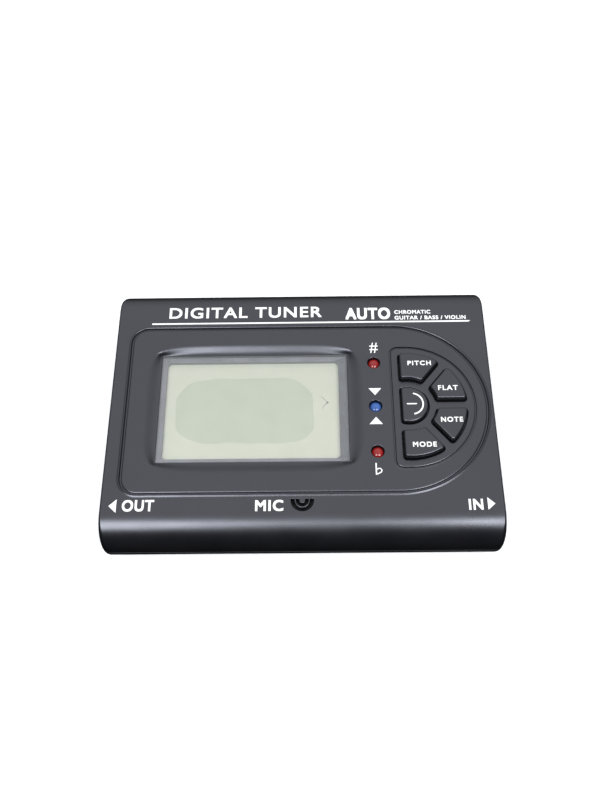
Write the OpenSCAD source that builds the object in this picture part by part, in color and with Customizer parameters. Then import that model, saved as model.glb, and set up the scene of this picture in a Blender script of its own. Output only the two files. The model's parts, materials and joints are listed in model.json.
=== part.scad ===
// Desktop chromatic tuner: two-part case, segment display, five keys, three lamps,
// a microphone, an input and an output jack, and two cylindrical cells in line.
// Millimetres. +Z up, +X to the right, +Y to the back, origin under the middle of the case.

/* [Case] */
// Width of the case, left to right
case_w = 105; // [104:0.5:108]
// Depth of the case, front to back
case_d = 78.5; // [78:0.5:81]
// Thickness of the case without its feet
case_t = 16; // [15.8:0.1:17]
// Thickness of the case walls
wall = 1.8; // [1.5:0.1:1.9]
// Corner radius of the case seen from above
corner_r = 3; // [2:0.5:5]
// How far the rubber feet stand out below the case
foot_h = 0.8; // [0.5:0.1:1.2]

/* [Display] */
// Width of the clear window
window_w = 52; // [50:0.5:54]
// Height of the clear window
window_h = 32.7; // [31:0.1:34]
// Depth of the window's face below the case top
window_depth = 1.2; // [0.9:0.1:1.5]
// Width of the display opening
opening_w = 48.2; // [46:0.2:49]
// Height of the display opening
opening_h = 30; // [27:0.2:30.2]

/* [Keys] */
// Outer radius of the fan of keys
fan_r = 16.2; // [15.5:0.1:16.6]
// Gap between one key hole and the next
key_gap = 2.2; // [2:0.1:2.6]
// Height that the keys stand above the case top
key_rise = 1.6; // [1:0.1:2]
// Travel of a key when it is pressed
key_travel = 1.1; // [0.8:0.05:1.1]

/* [Jacks] */
// Bore radius of a jack for a quarter inch plug
jack_bore_r = 3.2; // [3.2:0.01:3.25]

/* [Hidden] */
$fn = 64;
eps = 0.01;    // overlap that lets a cut pass a face
far = 200;     // longer than the whole object

// Heights
mid_z = foot_h + case_t / 2;           // parting plane of the two shells
top_z = foot_h + case_t;               // flat top of the case
ceiling_z = top_z - wall;              // inside of the top
floor_z = foot_h + wall;               // inside of the bottom
window_top_z = top_z - window_depth;
window_t = 1;
adhesive_t = 0.2;
ledge_z = window_top_z - window_t - adhesive_t;   // shelf that carries the window
ledge_t = 1;
lcd_top_z = ledge_z - ledge_t;
film_t = 0.2;
glass_t = 1.1;
board_t = 1.6;
board_top_z = 8.6;
board_z = board_top_z - board_t;

// The row of controls lies on one line from left to right
line_y = -0.7;
window_x = -13.2;
window_y = -0.15;
opening_x = -13.7;
opening_y = -0.2;
lamp_x = 20.3;
lamp_pitch = 13.6;
lamp_hole_r = 1.85;
lamp_r = 1.6;
fan_x = 29.2;
fan_inner_r = 7.6;
power_r = 5.7;
key_left = 27;
key_split = 50.5;      // angle of the gap between a side key and its neighbour
key_clear = 0.25;
key_centres = [[31.5, 11.6], [10.9, 4.7], [1.9, 0], [10.9, -4.7], [31.5, -11.6]];

// Raised and sunk lines of the top
panel_left = -48;
panel_r = 25.35;
panel_cx = 25.35;
panel_corner = 5.5;
well_left = 24.85;
well_r = 18.65;
well_cx = 28.95;
well_corner = 2.2;
line_w = 0.8;
line_depth = 0.35;

// Microphone
mic_x = 0.1;
mic_y = -28.45;
mic_r = 3;

// Jacks lie on the parting plane, one in each side wall
jack_y = -26.5;
jack_len = 33;
jack_w = 11;
jack_h = 11.2;
bush_r = 4.5;
bush_len = 9;
sleeve_r = 3.8;
leaf_x = -11;          // hinge line of a tip leaf, from the outer face
leaf_z = 4.2;
metal_t = 0.3;

// Batteries lie end to end along the back
cell_r = 5.1;
cell_len = 44.3;
cell_y = 30.6;
cell_end_x = 45.8;     // where the positive end touches its plate
nub_r = 1.9;
nub_len = 1;
cheek_x = 46.2;        // inner face of the walls that close the compartment
cheek_t = 1.2;
door_half = 46;        // half the width of the door's opening
door_y = 25.5;         // front edge of the door's opening
door_clear = 0.15;
rib_y = 24;
rib_t = 1;
tab_x = [-30, 0, 30];

// Screws and feet
case_screw_at = [[-47.3, 19], [47.3, 19], [-47.3, -15.5], [47.3, -15.5]];
board_screw_at = [[-45, 10], [-45, -8], [17.3, 20.6], [17.3, -17.9]];
foot_at = [[-38, 18], [38, 18], [-38, -26], [38, -26]];
foot_r = 4;
foot_sink = 0.7;

// ---------- helpers ----------

module box(low, high) { translate(low) cube(high - low); }

module rod(r, z0, z1) { translate([0, 0, z0]) cylinder(r = r, h = z1 - z0); }

module tube(r, bore, z0, z1) {
    difference() {
        rod(r, z0, z1);
        rod(bore, z0 - 1, z1 + 1);
    }
}

// A cylinder along X
module rod_x(r, x0, x1) { translate([x0, 0, 0]) rotate([0, 90, 0]) cylinder(r = r, h = x1 - x0); }

// A round wire through points, with a ball at each bend
module wire(path, r) {
    for (i = [0 : len(path) - 2]) {
        step = path[i + 1] - path[i];
        span = norm(step);
        translate(path[i])
            rotate([0, acos(step[2] / span), atan2(step[1], step[0])])
                cylinder(r = r, h = span, $fn = 24);
    }
    for (i = [1 : len(path) - 2]) translate(path[i]) sphere(r = r, $fn = 24);
}

module rounded_rect(w, d, r) {
    square([w - 2 * r, d], center = true);
    square([w, d - 2 * r], center = true);
    for (x = [-1, 1], y = [-1, 1]) translate([x * (w / 2 - r), y * (d / 2 - r)]) circle(r);
}

// The case seen from the side: a flat bar with fully round front and back edges
module side_profile(inset) {
    half = case_d / 2 - case_t / 2;
    r = case_t / 2 - inset;
    square([2 * half, 2 * r], center = true);
    for (y = [-half, half]) translate([y, 0]) circle(r, $fn = 96);
}

module case_solid(inset) {
    intersection() {
        translate([0, 0, mid_z]) rotate([90, 0, 90])
            linear_extrude(case_w - 2 * inset, center = true) side_profile(inset);
        linear_extrude(2 * top_z)
            rounded_rect(case_w - 2 * inset, case_d - 2 * inset, corner_r - inset / 2);
    }
}

// A D seen from above: square corners rounded on the left, half a circle on the right
module dee(left, cx, r, corner, inset) {
    intersection() {
        translate([cx, 0]) circle(r - inset, $fn = 128);
        translate([cx, -far / 2]) square(far);
    }
    translate([left + corner, inset - r]) square([cx - left - corner, 2 * (r - inset)]);
    translate([left + inset, corner - r]) square([corner, 2 * (r - corner)]);
    for (y = [-1, 1]) translate([left + corner, y * (r - corner)]) circle(corner - inset);
}

module dee_line(left, cx, r, corner) {
    translate([0, line_y, top_z - line_depth]) linear_extrude(1) difference() {
        dee(left, cx, r, corner, -line_w / 2);
        dee(left, cx, r, corner, line_w / 2);
    }
}

// ---------- keys ----------

// Half planes on either side of a ray from the fan's centre, each set back by the same distance
module left_of_ray(angle, back) { rotate(angle) translate([-far / 2, back]) square([far, far / 2]); }

module right_of_ray(angle, back) { rotate(angle) translate([-far / 2, -far / 2 - back]) square([far, far / 2]); }

module right_of_edge(back) { translate([key_left - fan_x + back, -far / 2]) square(far); }

// Outline of a key hole about the fan's centre, drawn in by inset. i counts from the back: 0 to 4
module key_outline(i, inset = 0) {
    half_gap = key_gap / 2 + inset;
    if (i == 2) intersection() {
        circle(power_r - inset);
        right_of_edge(inset);
    }
    else if (i > 2) mirror([0, 1]) key_outline(4 - i, inset);
    else difference() {
        intersection() {
            circle(fan_r - inset);
            if (i == 0) left_of_ray(key_split, half_gap);
            if (i == 1) right_of_ray(key_split, half_gap);
            if (i == 0) right_of_edge(inset);
            if (i == 1) left_of_ray(0, half_gap);
        }
        circle(fan_inner_r + inset);
    }
}

module at_fan() { translate([fan_x, line_y, 0]) children(); }

function dome_at(i) = i == 2 ? [fan_x + 1.7, line_y] :
    i == 1 ? [fan_x + 11.6, line_y + 5] :
    i == 3 ? [fan_x + 11.6, line_y - 5] :
    i == 0 ? [fan_x + 2.6, line_y + 11.8] : [fan_x + 2.6, line_y - 11.8];

dome_top_z = 11.2;
dome_roof = 0.8;
pill_t = 0.6;

module key(i) {
    flange_top = ceiling_z - 0.1;
    flange_t = 0.8;
    edge = 0.5;
    rise = i == 2 ? key_rise - 0.6 : key_rise;
    color([0.10, 0.10, 0.11]) {
        at_fan() {
            translate([0, 0, flange_top - flange_t]) linear_extrude(flange_t) key_outline(i, -0.5);
            translate([0, 0, flange_top - eps]) linear_extrude(top_z + rise - edge - flange_top + eps)
                key_outline(i, key_clear);
            translate([0, 0, top_z + rise - edge - eps]) linear_extrude(edge + eps)
                key_outline(i, key_clear + edge);
        }
        translate(dome_at(i)) rod(1.9, dome_top_z, flange_top - flange_t + eps);
    }
}

module dome(i) {
    base_z = board_top_z;
    color([0.75, 0.76, 0.74]) translate(dome_at(i)) difference() {
        union() {
            rod(3.5, base_z, base_z + 0.6);
            translate([0, 0, base_z + 0.6]) cylinder(r1 = 3.3, r2 = 2.3, h = dome_top_z - base_z - 0.6);
        }
        translate([0, 0, base_z - eps]) cylinder(r1 = 2.7, r2 = 1.7, h = dome_top_z - dome_roof - base_z + eps);
    }
}

module pill(i) {
    roof_z = dome_top_z - dome_roof;
    color([0.05, 0.05, 0.05]) translate(dome_at(i)) rod(1.5, roof_z - pill_t, roof_z);
}

module dome_sheet() {
    color([0.78, 0.79, 0.77]) translate([0, 0, board_top_z]) linear_extrude(0.6) difference() {
        translate([0, line_y]) dee(25.4, well_cx, well_r - 1, well_corner, 0);
        for (i = [0 : 4]) translate(dome_at(i)) circle(3.5);
    }
}

// ---------- case ----------

module mic_slots() {
    translate([mic_x, mic_y, ceiling_z - 1]) linear_extrude(4)
        for (r = [[2.2, 3.15], [0.85, 1.7]]) {
            intersection() {
                difference() {
                    circle(r[1]);
                    circle(r[0]);
                }
                translate([-5, -10]) square([10, 10]);
            }
            for (x = [-r[1], r[0]]) translate([x, -eps]) square([r[1] - r[0], 0.5]);
        }
}

// A rectangle with its corners cut off
function cut_rect(w, h, c) = [
    [w / 2, h / 2 - c], [w / 2 - c, h / 2], [c - w / 2, h / 2], [-w / 2, h / 2 - c],
    [-w / 2, c - h / 2], [c - w / 2, -h / 2], [w / 2 - c, -h / 2], [w / 2, c - h / 2]
];

// The sunk field around the window
module dish() {
    hull() {
        translate([window_x, line_y, top_z + 0.3]) linear_extrude(0.5) polygon(cut_rect(61.5, 41, 9));
        translate([window_x, window_y, window_top_z])
            linear_extrude(eps) square([window_w + 0.8, window_h + 0.8], center = true);
    }
}

module window_cut() {
    dish();
    translate([window_x, window_y, ledge_z]) linear_extrude(5)
        square([window_w + 0.3, window_h + 0.3], center = true);
    translate([opening_x, opening_y, lcd_top_z - eps]) linear_extrude(5)
        rounded_rect(opening_w, opening_h, 1.2);
}

// Where a jack's front bush passes the side wall
module bush_holes() {
    translate([0, jack_y, mid_z]) rod_x(bush_r + 0.05, -far / 2, far / 2);
}

module lamp_holes() {
    for (k = [-1 : 1]) translate([lamp_x, line_y + k * lamp_pitch]) rod(lamp_hole_r, ceiling_z - 1, top_z + 1);
}

module upper_ribs() {
    // posts for the case screws and the board screws
    for (p = case_screw_at) translate(p) rod(2.9, mid_z + 0.1, ceiling_z + eps);
    for (p = board_screw_at) translate(p) rod(2.4, board_top_z, ceiling_z + eps);
    // saddles over the cells
    for (x = [-38, -8, 8, 38]) difference() {
        box([x - 0.6, cell_y - 5.2, mid_z + 1.5], [x + 0.6, cell_y + 4.6, ceiling_z + eps]);
        translate([0, cell_y, mid_z]) rod_x(cell_r + 0.15, x - 1, x + 1);
    }
    // ring that holds the microphone's boot
    translate([mic_x, mic_y]) tube(5.2, 4.3, 11.5, ceiling_z + eps);
    // thick field behind the window
    box([window_x - 30, window_y - 20, lcd_top_z], [window_x + 30, window_y + 20, ceiling_z + eps]);
}

module top_shell() {
    color([0.13, 0.13, 0.145]) difference() {
        union() {
            difference() {
                case_solid(0);
                case_solid(wall);
            }
            intersection() {
                case_solid(wall / 2);
                upper_ribs();
            }
        }
        box([-far, -far, -1], [far, far, mid_z]);
        // rebate for the lower shell's lip
        translate([0, 0, mid_z - eps]) linear_extrude(1.1)
            rounded_rect(case_w - 2 * (wall / 2 - 0.05), case_d - 2 * (wall / 2 - 0.05), corner_r - 0.5);
        window_cut();
        dee_line(panel_left, panel_cx, panel_r, panel_corner);
        dee_line(well_left, well_cx, well_r, well_corner);
        at_fan() translate([0, 0, ceiling_z - 1]) linear_extrude(5) for (i = [0 : 4]) key_outline(i);
        lamp_holes();
        mic_slots();
        bush_holes();
        for (p = case_screw_at) translate(p) rod(1.3, 0, ceiling_z - 0.6);
        for (p = board_screw_at) translate(p) rod(0.95, 0, ceiling_z - 0.6);
    }
    // saddles, posts and ring below the rebate
    color([0.13, 0.13, 0.145]) intersection() {
        case_solid(wall + 0.2);
        box([-far, -far, mid_z], [far, far, mid_z + 1.2]);
        difference() {
            for (p = case_screw_at) translate(p) rod(2.9, mid_z + 0.1, mid_z + 1.2);
            for (p = case_screw_at) translate(p) rod(1.3, 0, far);
        }
    }
}

module door_field(clear) {
    box([-door_half + clear, door_y + clear, 0], [door_half - clear, far, mid_z - clear / 3]);
}

module lower_ribs() {
    for (p = case_screw_at) translate(p) rod(2.9, floor_z - eps, mid_z);
    // wall between the board and the cells, notched for the door's tabs
    difference() {
        box([-cheek_x, rib_y, floor_z - eps], [cheek_x, rib_y + rib_t, mid_z]);
        for (x = tab_x) box([x - 5, rib_y - 1, floor_z], [x + 5, rib_y + 2, floor_z + 1.2]);
    }
    // cheeks at the ends of the compartment
    for (s = [-1, 1]) translate([s * (cheek_x + cheek_t / 2), 0, 0])
        box([-cheek_t / 2, rib_y, floor_z - eps], [cheek_t / 2, cell_y + 6, mid_z]);
}

module bottom_shell() {
    color([0.12, 0.12, 0.13]) difference() {
        union() {
            difference() {
                case_solid(0);
                case_solid(wall);
                box([-far, -far, mid_z], [far, far, far]);
            }
            intersection() {
                case_solid(wall / 2);
                lower_ribs();
            }
            // lip that locates the upper shell
            translate([0, 0, mid_z - 0.5]) linear_extrude(1.4) difference() {
                rounded_rect(case_w - wall - 0.1, case_d - wall - 0.1, corner_r - 0.6);
                rounded_rect(case_w - 2 * wall, case_d - 2 * wall, corner_r - wall / 2);
            }
        }
        door_field(0);
        box([-door_half - 1, door_y - 1, mid_z - 0.6], [door_half + 1, far, far]);
        bush_holes();
        for (p = case_screw_at) translate(p) {
            rod(1.4, -1, far);
            rod(2.8, -1, foot_h + 3.6);
        }
        for (p = foot_at) translate(p) rod(foot_r + 0.05, -1, foot_h + foot_sink);
    }
}

module battery_door() {
    grip_pitch = 1.6;
    color([0.12, 0.12, 0.13]) {
        difference() {
            intersection() {
                difference() {
                    case_solid(0);
                    case_solid(wall);
                }
                door_field(door_clear);
            }
            // grip grooves for a thumb
            for (k = [-3 : 3]) box([-8, 29.4 + k * grip_pitch / 2 - 0.2, -1], [8, 29.4 + k * grip_pitch / 2 + 0.2, foot_h + 0.35]);
        }
        // tabs that slide in over the lower shell's floor
        for (x = tab_x) box([x - 4.5, 22.6, floor_z + 0.1], [x + 4.5, 28, floor_z + 0.9]);
        for (x = tab_x) box([x - 4.5, door_y + door_clear, floor_z - eps], [x + 4.5, 28, floor_z + 0.2]);
    }
}

module rubber_feet() {
    color([0.06, 0.06, 0.06]) for (p = foot_at) translate(p) rod(foot_r, 0, foot_h + foot_sink);
}

module case_screws() {
    head_z = foot_h + 3.6;
    color([0.25, 0.25, 0.27]) for (p = case_screw_at) translate(p) difference() {
        union() {
            rod(2.4, head_z - 1.5, head_z);
            rod(1.25, head_z - eps, ceiling_z - 1);
        }
        for (a = [0, 90]) rotate(a) box([-1.5, -0.3, head_z - 2], [1.5, 0.3, head_z - 0.7]);
    }
}

module board_screws() {
    color([0.7, 0.7, 0.72]) for (p = board_screw_at) translate(p) difference() {
        union() {
            rod(1.9, board_z - 1.2, board_z);
            rod(0.9, board_z - eps, ceiling_z - 1);
        }
        for (a = [0, 90]) rotate(a) box([-1.2, -0.25, board_z - 2], [1.2, 0.25, board_z - 0.6]);
    }
}

// ---------- display ----------

module display_slab(w, h, z, t, dx = 0, dy = 0) {
    translate([opening_x + dx, line_y + dy, z]) linear_extrude(t) square([w, h], center = true);
}

module display_window() {
    color([0.9, 0.95, 0.95, 0.35]) translate([window_x, window_y, window_top_z - window_t])
        linear_extrude(window_t) square([window_w, window_h], center = true);
}

module window_adhesive() {
    color([0.45, 0.45, 0.46]) translate([0, 0, ledge_z]) linear_extrude(adhesive_t) difference() {
        translate([window_x, window_y]) square([window_w, window_h], center = true);
        translate([opening_x, opening_y]) rounded_rect(opening_w, opening_h, 1.2);
    }
}

module lcd_polarizer() { color([0.80, 0.84, 0.74]) display_slab(50, 33, lcd_top_z - film_t, film_t); }

module lcd_front_glass() { color([0.75, 0.85, 0.82, 0.5]) display_slab(52, 37, lcd_top_z - film_t - glass_t, glass_t); }

module lcd_rear_glass() { color([0.75, 0.85, 0.82, 0.5]) display_slab(52, 30.6, lcd_top_z - film_t - 2 * glass_t, glass_t); }

module lcd_reflector() { color([0.82, 0.85, 0.78]) display_slab(50, 30, lcd_top_z - 2 * film_t - 2 * glass_t, film_t); }

module zebra_strips() {
    strip_h = lcd_top_z - film_t - glass_t - board_top_z;
    color([0.85, 0.60, 0.62]) for (s = [-1, 1]) display_slab(46, 2, board_top_z, strip_h, 0, s * 16.8);
}

module lcd_holder() {
    top = lcd_top_z - 0.1;
    color([0.86, 0.87, 0.88]) difference() {
        display_slab(56, 40, board_top_z, top - board_top_z);
        display_slab(52.2, 37.2, board_top_z - 1, far);
    }
    color([0.86, 0.87, 0.88]) for (s = [-1, 1]) display_slab(52.4, 0.8, board_top_z, 2, 0, s * 15.2);
}

// ---------- board ----------

module main_board() {
    color([0.10, 0.32, 0.16]) difference() {
        translate([0, 0, board_z]) linear_extrude(board_t) difference() {
            union() {
                translate([-50, -20]) square([100, 43.5]);
                translate([-9, -33]) square([18, 13.5]);
            }
            for (p = case_screw_at) translate(p) circle(3.4);
            for (p = board_screw_at) translate(p) circle(1.2);
        }
        for (k = [-1 : 1], s = [-1, 1]) translate([lamp_x + s * 1.27, line_y + k * lamp_pitch]) rod(0.45, 0, far);
        for (s = [-1, 1]) translate([mic_x + s * 1.27, mic_y]) rod(0.45, 0, far);
    }
}

module tuner_chip() {
    color([0.05, 0.05, 0.06]) translate([opening_x, line_y, board_top_z]) {
        cylinder(r1 = 6, r2 = 4.8, h = 0.9);
        translate([0, 0, 0.9 - eps]) cylinder(r1 = 4.8, r2 = 2, h = 0.7);
    }
}

module preamp_chip() {
    color([0.08, 0.08, 0.09]) translate([33, -16, 0]) box([-2.5, -2, board_z - 1.6], [2.5, 2, board_z - 0.1]);
    color([0.8, 0.8, 0.82]) translate([33, -16, 0]) for (x = [-1.9 : 1.27 : 1.95], s = [-1, 1])
        translate([x, s * 2.4, 0]) box([-0.2, -0.5, board_z - 0.9], [0.2, 0.5, board_z]);
}

module quartz_crystal() {
    color([0.78, 0.78, 0.80]) translate([-20, 18, board_z - 1.6]) {
        rod_x(1.5, -4, 4);
        for (s = [-0.5, 0.5]) translate([0, s, 0]) rod_x(0.2, 3.9, 7);
    }
}

module can_capacitors() {
    color([0.72, 0.73, 0.76]) for (p = [[-30, -12], [-23, -12], [8, 8], [26, 18]]) translate(p) {
        rod(2, board_z - 3.9, board_z - 0.4);
        rod(2.2, board_z - 0.5, board_z);
    }
}

module chip_parts() {
    color([0.15, 0.14, 0.13]) for (x = [0 : 5], y = [0 : 2])
        translate([-12 + 4 * x, -14 + 4.5 * y, 0]) box([-0.8, -0.4, board_z - 0.6], [0.8, 0.4, board_z]);
    color([0.62, 0.52, 0.38]) for (x = [0 : 4])
        translate([28 + 4 * x, -10, 0]) box([-0.8, -0.5, board_z - 0.8], [0.8, 0.5, board_z]);
}

// ---------- lamps ----------

module lamp(k, tint) {
    flange_z = 11.5;
    equator_z = top_z - 0.2 - lamp_r;
    color(tint) translate([lamp_x, line_y + k * lamp_pitch]) {
        rod(1.9, flange_z, flange_z + 0.8);
        rod(lamp_r, flange_z, equator_z);
        translate([0, 0, equator_z]) intersection() {
            sphere(lamp_r);
            rod(far / 4, -eps, lamp_r + 1);
        }
    }
}

module led_leads() {
    color([0.8, 0.8, 0.82]) for (k = [-1 : 1], s = [-1, 1])
        translate([lamp_x + s * 1.27, line_y + k * lamp_pitch]) rod(0.25, board_z - 1, 11.5);
}

module led_spacers() {
    color([0.92, 0.92, 0.90]) for (k = [-1 : 1]) translate([lamp_x, line_y + k * lamp_pitch]) difference() {
        rod(2.1, board_top_z, 11.5);
        for (s = [-1, 1]) translate([s * 1.27, 0]) rod(0.35, 0, far);
    }
}

// ---------- microphone ----------

module mic_capsule() {
    color([0.75, 0.76, 0.78]) translate([mic_x, mic_y]) difference() {
        rod(mic_r, 9.4, 14.4);
        rod(0.6, 14, 15);
    }
}

module mic_boot() { color([0.07, 0.07, 0.07]) translate([mic_x, mic_y]) tube(4.2, mic_r, 9.4, 14.6); }

module mic_felt() { color([0.05, 0.05, 0.06]) translate([mic_x, mic_y]) rod(3.9, 14.6, ceiling_z - 0.15); }

module mic_pins() {
    color([0.8, 0.8, 0.82]) for (s = [-1, 1]) translate([mic_x + 1.27 * s, mic_y]) rod(0.25, board_z - 1, 9.4);
}

// ---------- jacks ----------

// Puts a jack that points along +X, with its mouth at the origin, into the right or left side
module in_side(side) {
    if (side > 0) translate([case_w / 2, jack_y, mid_z]) children();
    else mirror([1, 0, 0]) translate([case_w / 2, jack_y, mid_z]) children();
}

module jack_housing(side, has_switch) {
    color([0.09, 0.09, 0.10]) in_side(side) difference() {
        union() {
            box([-jack_len, -jack_w / 2, -jack_h / 2], [-wall, jack_w / 2, jack_h / 2]);
            rod_x(bush_r, -wall - eps, 0);
        }
        rod_x(sleeve_r + 0.03, -bush_len, 1);
        box([-jack_len + 1.5, -3.8, -3.8], [-bush_len + eps, 3.8, 3.8]);
        box([-jack_len + 1.5, -1.7, 0], [-bush_len + 0.6, 1.7, jack_h]);
        box([-7.05, sleeve_r - 1, -0.25], [-4.95, jack_w, 0.15]);
        if (has_switch) box([-20.05, 1, leaf_z - 0.4], [-17.95, jack_w, leaf_z]);
    }
}

module jack_sleeve(side) {
    color([0.82, 0.82, 0.84]) in_side(side) difference() {
        rod_x(sleeve_r, -bush_len, 0);
        rod_x(jack_bore_r, -bush_len - 1, 1);
    }
}

// A strap that comes down the side of the housing and ends in a lug on the board
module side_strap(x0, x1, z_from) {
    side_y = jack_w / 2;
    lug_z = board_top_z - mid_z;
    box([x0, side_y, lug_z], [x1, side_y + metal_t, z_from]);
    box([x0, side_y, lug_z], [x1, side_y + 2.9, lug_z + metal_t]);
}

module jack_terminals(side) {
    cover_z = jack_h / 2;
    color([0.80, 0.79, 0.74]) in_side(side) {
        // tip: anchor in the slot, over the top and down to the board
        box([-11, -1.5, leaf_z], [-bush_len + 0.6, 1.5, leaf_z + metal_t]);
        box([-9.8, -1.5, leaf_z], [-9.5, 1.5, cover_z + metal_t]);
        box([-10.8, -1.5, cover_z], [-9.5, jack_w / 2 + metal_t, cover_z + metal_t]);
        side_strap(-10.8, -9.5, cover_z + metal_t);
        // sleeve: a lug out of the side
        box([-7, sleeve_r, -0.2], [-5, jack_w / 2 + 2, 0.1]);
    }
}

module switch_blade(side) {
    color([0.80, 0.79, 0.74]) in_side(side) {
        box([-20, 1.1, leaf_z - 0.35], [-18, jack_w / 2 + metal_t, leaf_z - 0.05]);
        side_strap(-20, -18, leaf_z - 0.05);
    }
}

// Sprung leaf whose bend presses on the plug's tip
module tip_leaf(side) {
    end = -28.8;
    bend = -27.4;
    dip = 1.5;
    color([0.85, 0.83, 0.76]) in_side(side) translate([0, 1.5, 0]) rotate([90, 0, 0]) linear_extrude(3)
        polygon([
            [leaf_x - 0.05, leaf_z], [bend + dip, leaf_z], [bend, leaf_z - dip], [end, leaf_z],
            [end, leaf_z + metal_t], [bend, leaf_z - dip + 1.5 * metal_t], [bend + dip, leaf_z + metal_t],
            [leaf_x - 0.05, leaf_z + metal_t]
        ]);
}

// ---------- batteries ----------

module battery_cell(positive_x) {
    color([0.16, 0.22, 0.42]) translate([positive_x, cell_y, mid_z]) {
        rod_x(cell_r, -cell_len, -nub_len);
        rod_x(nub_r, -nub_len - eps, 0);
    }
}

module battery_plate() {
    color([0.80, 0.80, 0.82]) {
        box([cell_end_x, cell_y - 4, mid_z - 4.2], [cheek_x, cell_y + 4, mid_z + 4.4]);
        box([cell_end_x, rib_y + 1.2, mid_z + 1.5], [cheek_x, cell_y - 3, mid_z + 3.5]);
    }
}

// Points of a cone-shaped coil that narrows towards the cell
spring_turns = 3.5;
spring_rings = 56;
spring_sides = 8;
spring_wire_r = 0.25;
function spring_point(i, start, length) = let (t = i / spring_rings, a = 360 * spring_turns * t, r = 3.4 - 1.6 * t)
    [start + length * t, r * cos(a), r * sin(a)];

module battery_spring() {
    base_x = -cheek_x;
    start = base_x + 0.65;
    length = (cell_end_x - 2 * cell_len) - start - spring_wire_r;
    rings = [for (i = [0 : spring_rings]) let (c = spring_point(i, start, length), a = 360 * spring_turns * i / spring_rings)
        for (j = [0 : spring_sides - 1]) let (b = 360 * j / spring_sides)
            [c[0] + spring_wire_r * sin(b), c[1] + spring_wire_r * cos(b) * cos(a), c[2] + spring_wire_r * cos(b) * sin(a)]];
    sides = [for (i = [0 : spring_rings - 1], j = [0 : spring_sides - 1]) let (k = (j + 1) % spring_sides)
        [i * spring_sides + j, i * spring_sides + k, (i + 1) * spring_sides + k, (i + 1) * spring_sides + j]];
    last = spring_rings * spring_sides;
    color([0.80, 0.80, 0.82]) {
        translate([0, cell_y, mid_z]) polyhedron(rings, concat(sides,
            [[for (j = [spring_sides - 1 : -1 : 0]) j]], [[for (j = [0 : spring_sides - 1]) last + j]]));
        box([base_x, cell_y - 4, mid_z - 4.2], [base_x + 0.4 + eps, cell_y + 4, mid_z + 4.4]);
        box([base_x, rib_y + 1.2, mid_z + 1.5], [base_x + 0.4, cell_y - 3, mid_z + 3.5]);
    }
}

module battery_wire(side, tint) {
    x = cheek_x - 0.2;
    color(tint) mirror([side > 0 ? 0 : 1, 0, 0]) wire([[x, rib_y + 1.2, mid_z + 2.5], [x, rib_y - 0.4, mid_z + 2.7],
        [x - 1.4, 22.3, mid_z + 1.8], [x - 1.6, 21.8, board_top_z + 0.3]], 0.55);
}

top_shell();
bottom_shell();
battery_door();
window_adhesive();
display_window();
lcd_polarizer();
lcd_front_glass();
lcd_rear_glass();
lcd_reflector();
lcd_holder();
zebra_strips();
main_board();
tuner_chip();
preamp_chip();
quartz_crystal();
can_capacitors();
chip_parts();
lamp(1, [0.65, 0.08, 0.08]);  // led_sharp
lamp(0, [0.15, 0.25, 0.60]);  // led_in_tune
lamp(-1, [0.65, 0.08, 0.08]);  // led_flat
led_leads();
led_spacers();
mic_capsule();
mic_boot();
mic_felt();
mic_pins();
jack_housing(1, true);  // input_jack_housing
jack_sleeve(1);  // input_jack_sleeve
jack_terminals(1);  // input_jack_terminals
switch_blade(1);  // input_switch_blade
tip_leaf(1);  // input_tip_leaf
jack_housing(-1, false);  // output_jack_housing
jack_sleeve(-1);  // output_jack_sleeve
jack_terminals(-1);  // output_jack_terminals
tip_leaf(-1);  // output_tip_leaf
dome_sheet();
dome(0);  // dome_pitch
dome(1);  // dome_flat
dome(2);  // dome_power
dome(3);  // dome_note
dome(4);  // dome_mode
pill(0);  // pill_pitch
pill(1);  // pill_flat
pill(2);  // pill_power
pill(3);  // pill_note
pill(4);  // pill_mode
key(0);  // key_pitch
key(1);  // key_flat
key(2);  // key_power
key(3);  // key_note
key(4);  // key_mode
battery_cell(cell_end_x - cell_len);  // battery_left
battery_cell(cell_end_x);  // battery_right
battery_spring();
battery_plate();
battery_wire(1, [0.7, 0.05, 0.05]);  // battery_wire_red
battery_wire(-1, [0.05, 0.05, 0.05]);  // battery_wire_black
case_screws();
board_screws();
rubber_feet();
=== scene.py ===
# %% [markdown]
# # A desktop tuner, surface by surface
#
# The mechanical model already holds every part at its size and place. This lesson
# gives the parts their looks: rounded shells, crisp keys, a window over a liquid
# crystal display, lamps, printing, and a material for each that starts from what
# the real one is made of.

# %% Load the frame
import json

import bmesh
import bpy
import numpy as np
from mathutils import Matrix, Vector
from mathutils.geometry import delaunay_2d_cdt

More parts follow.
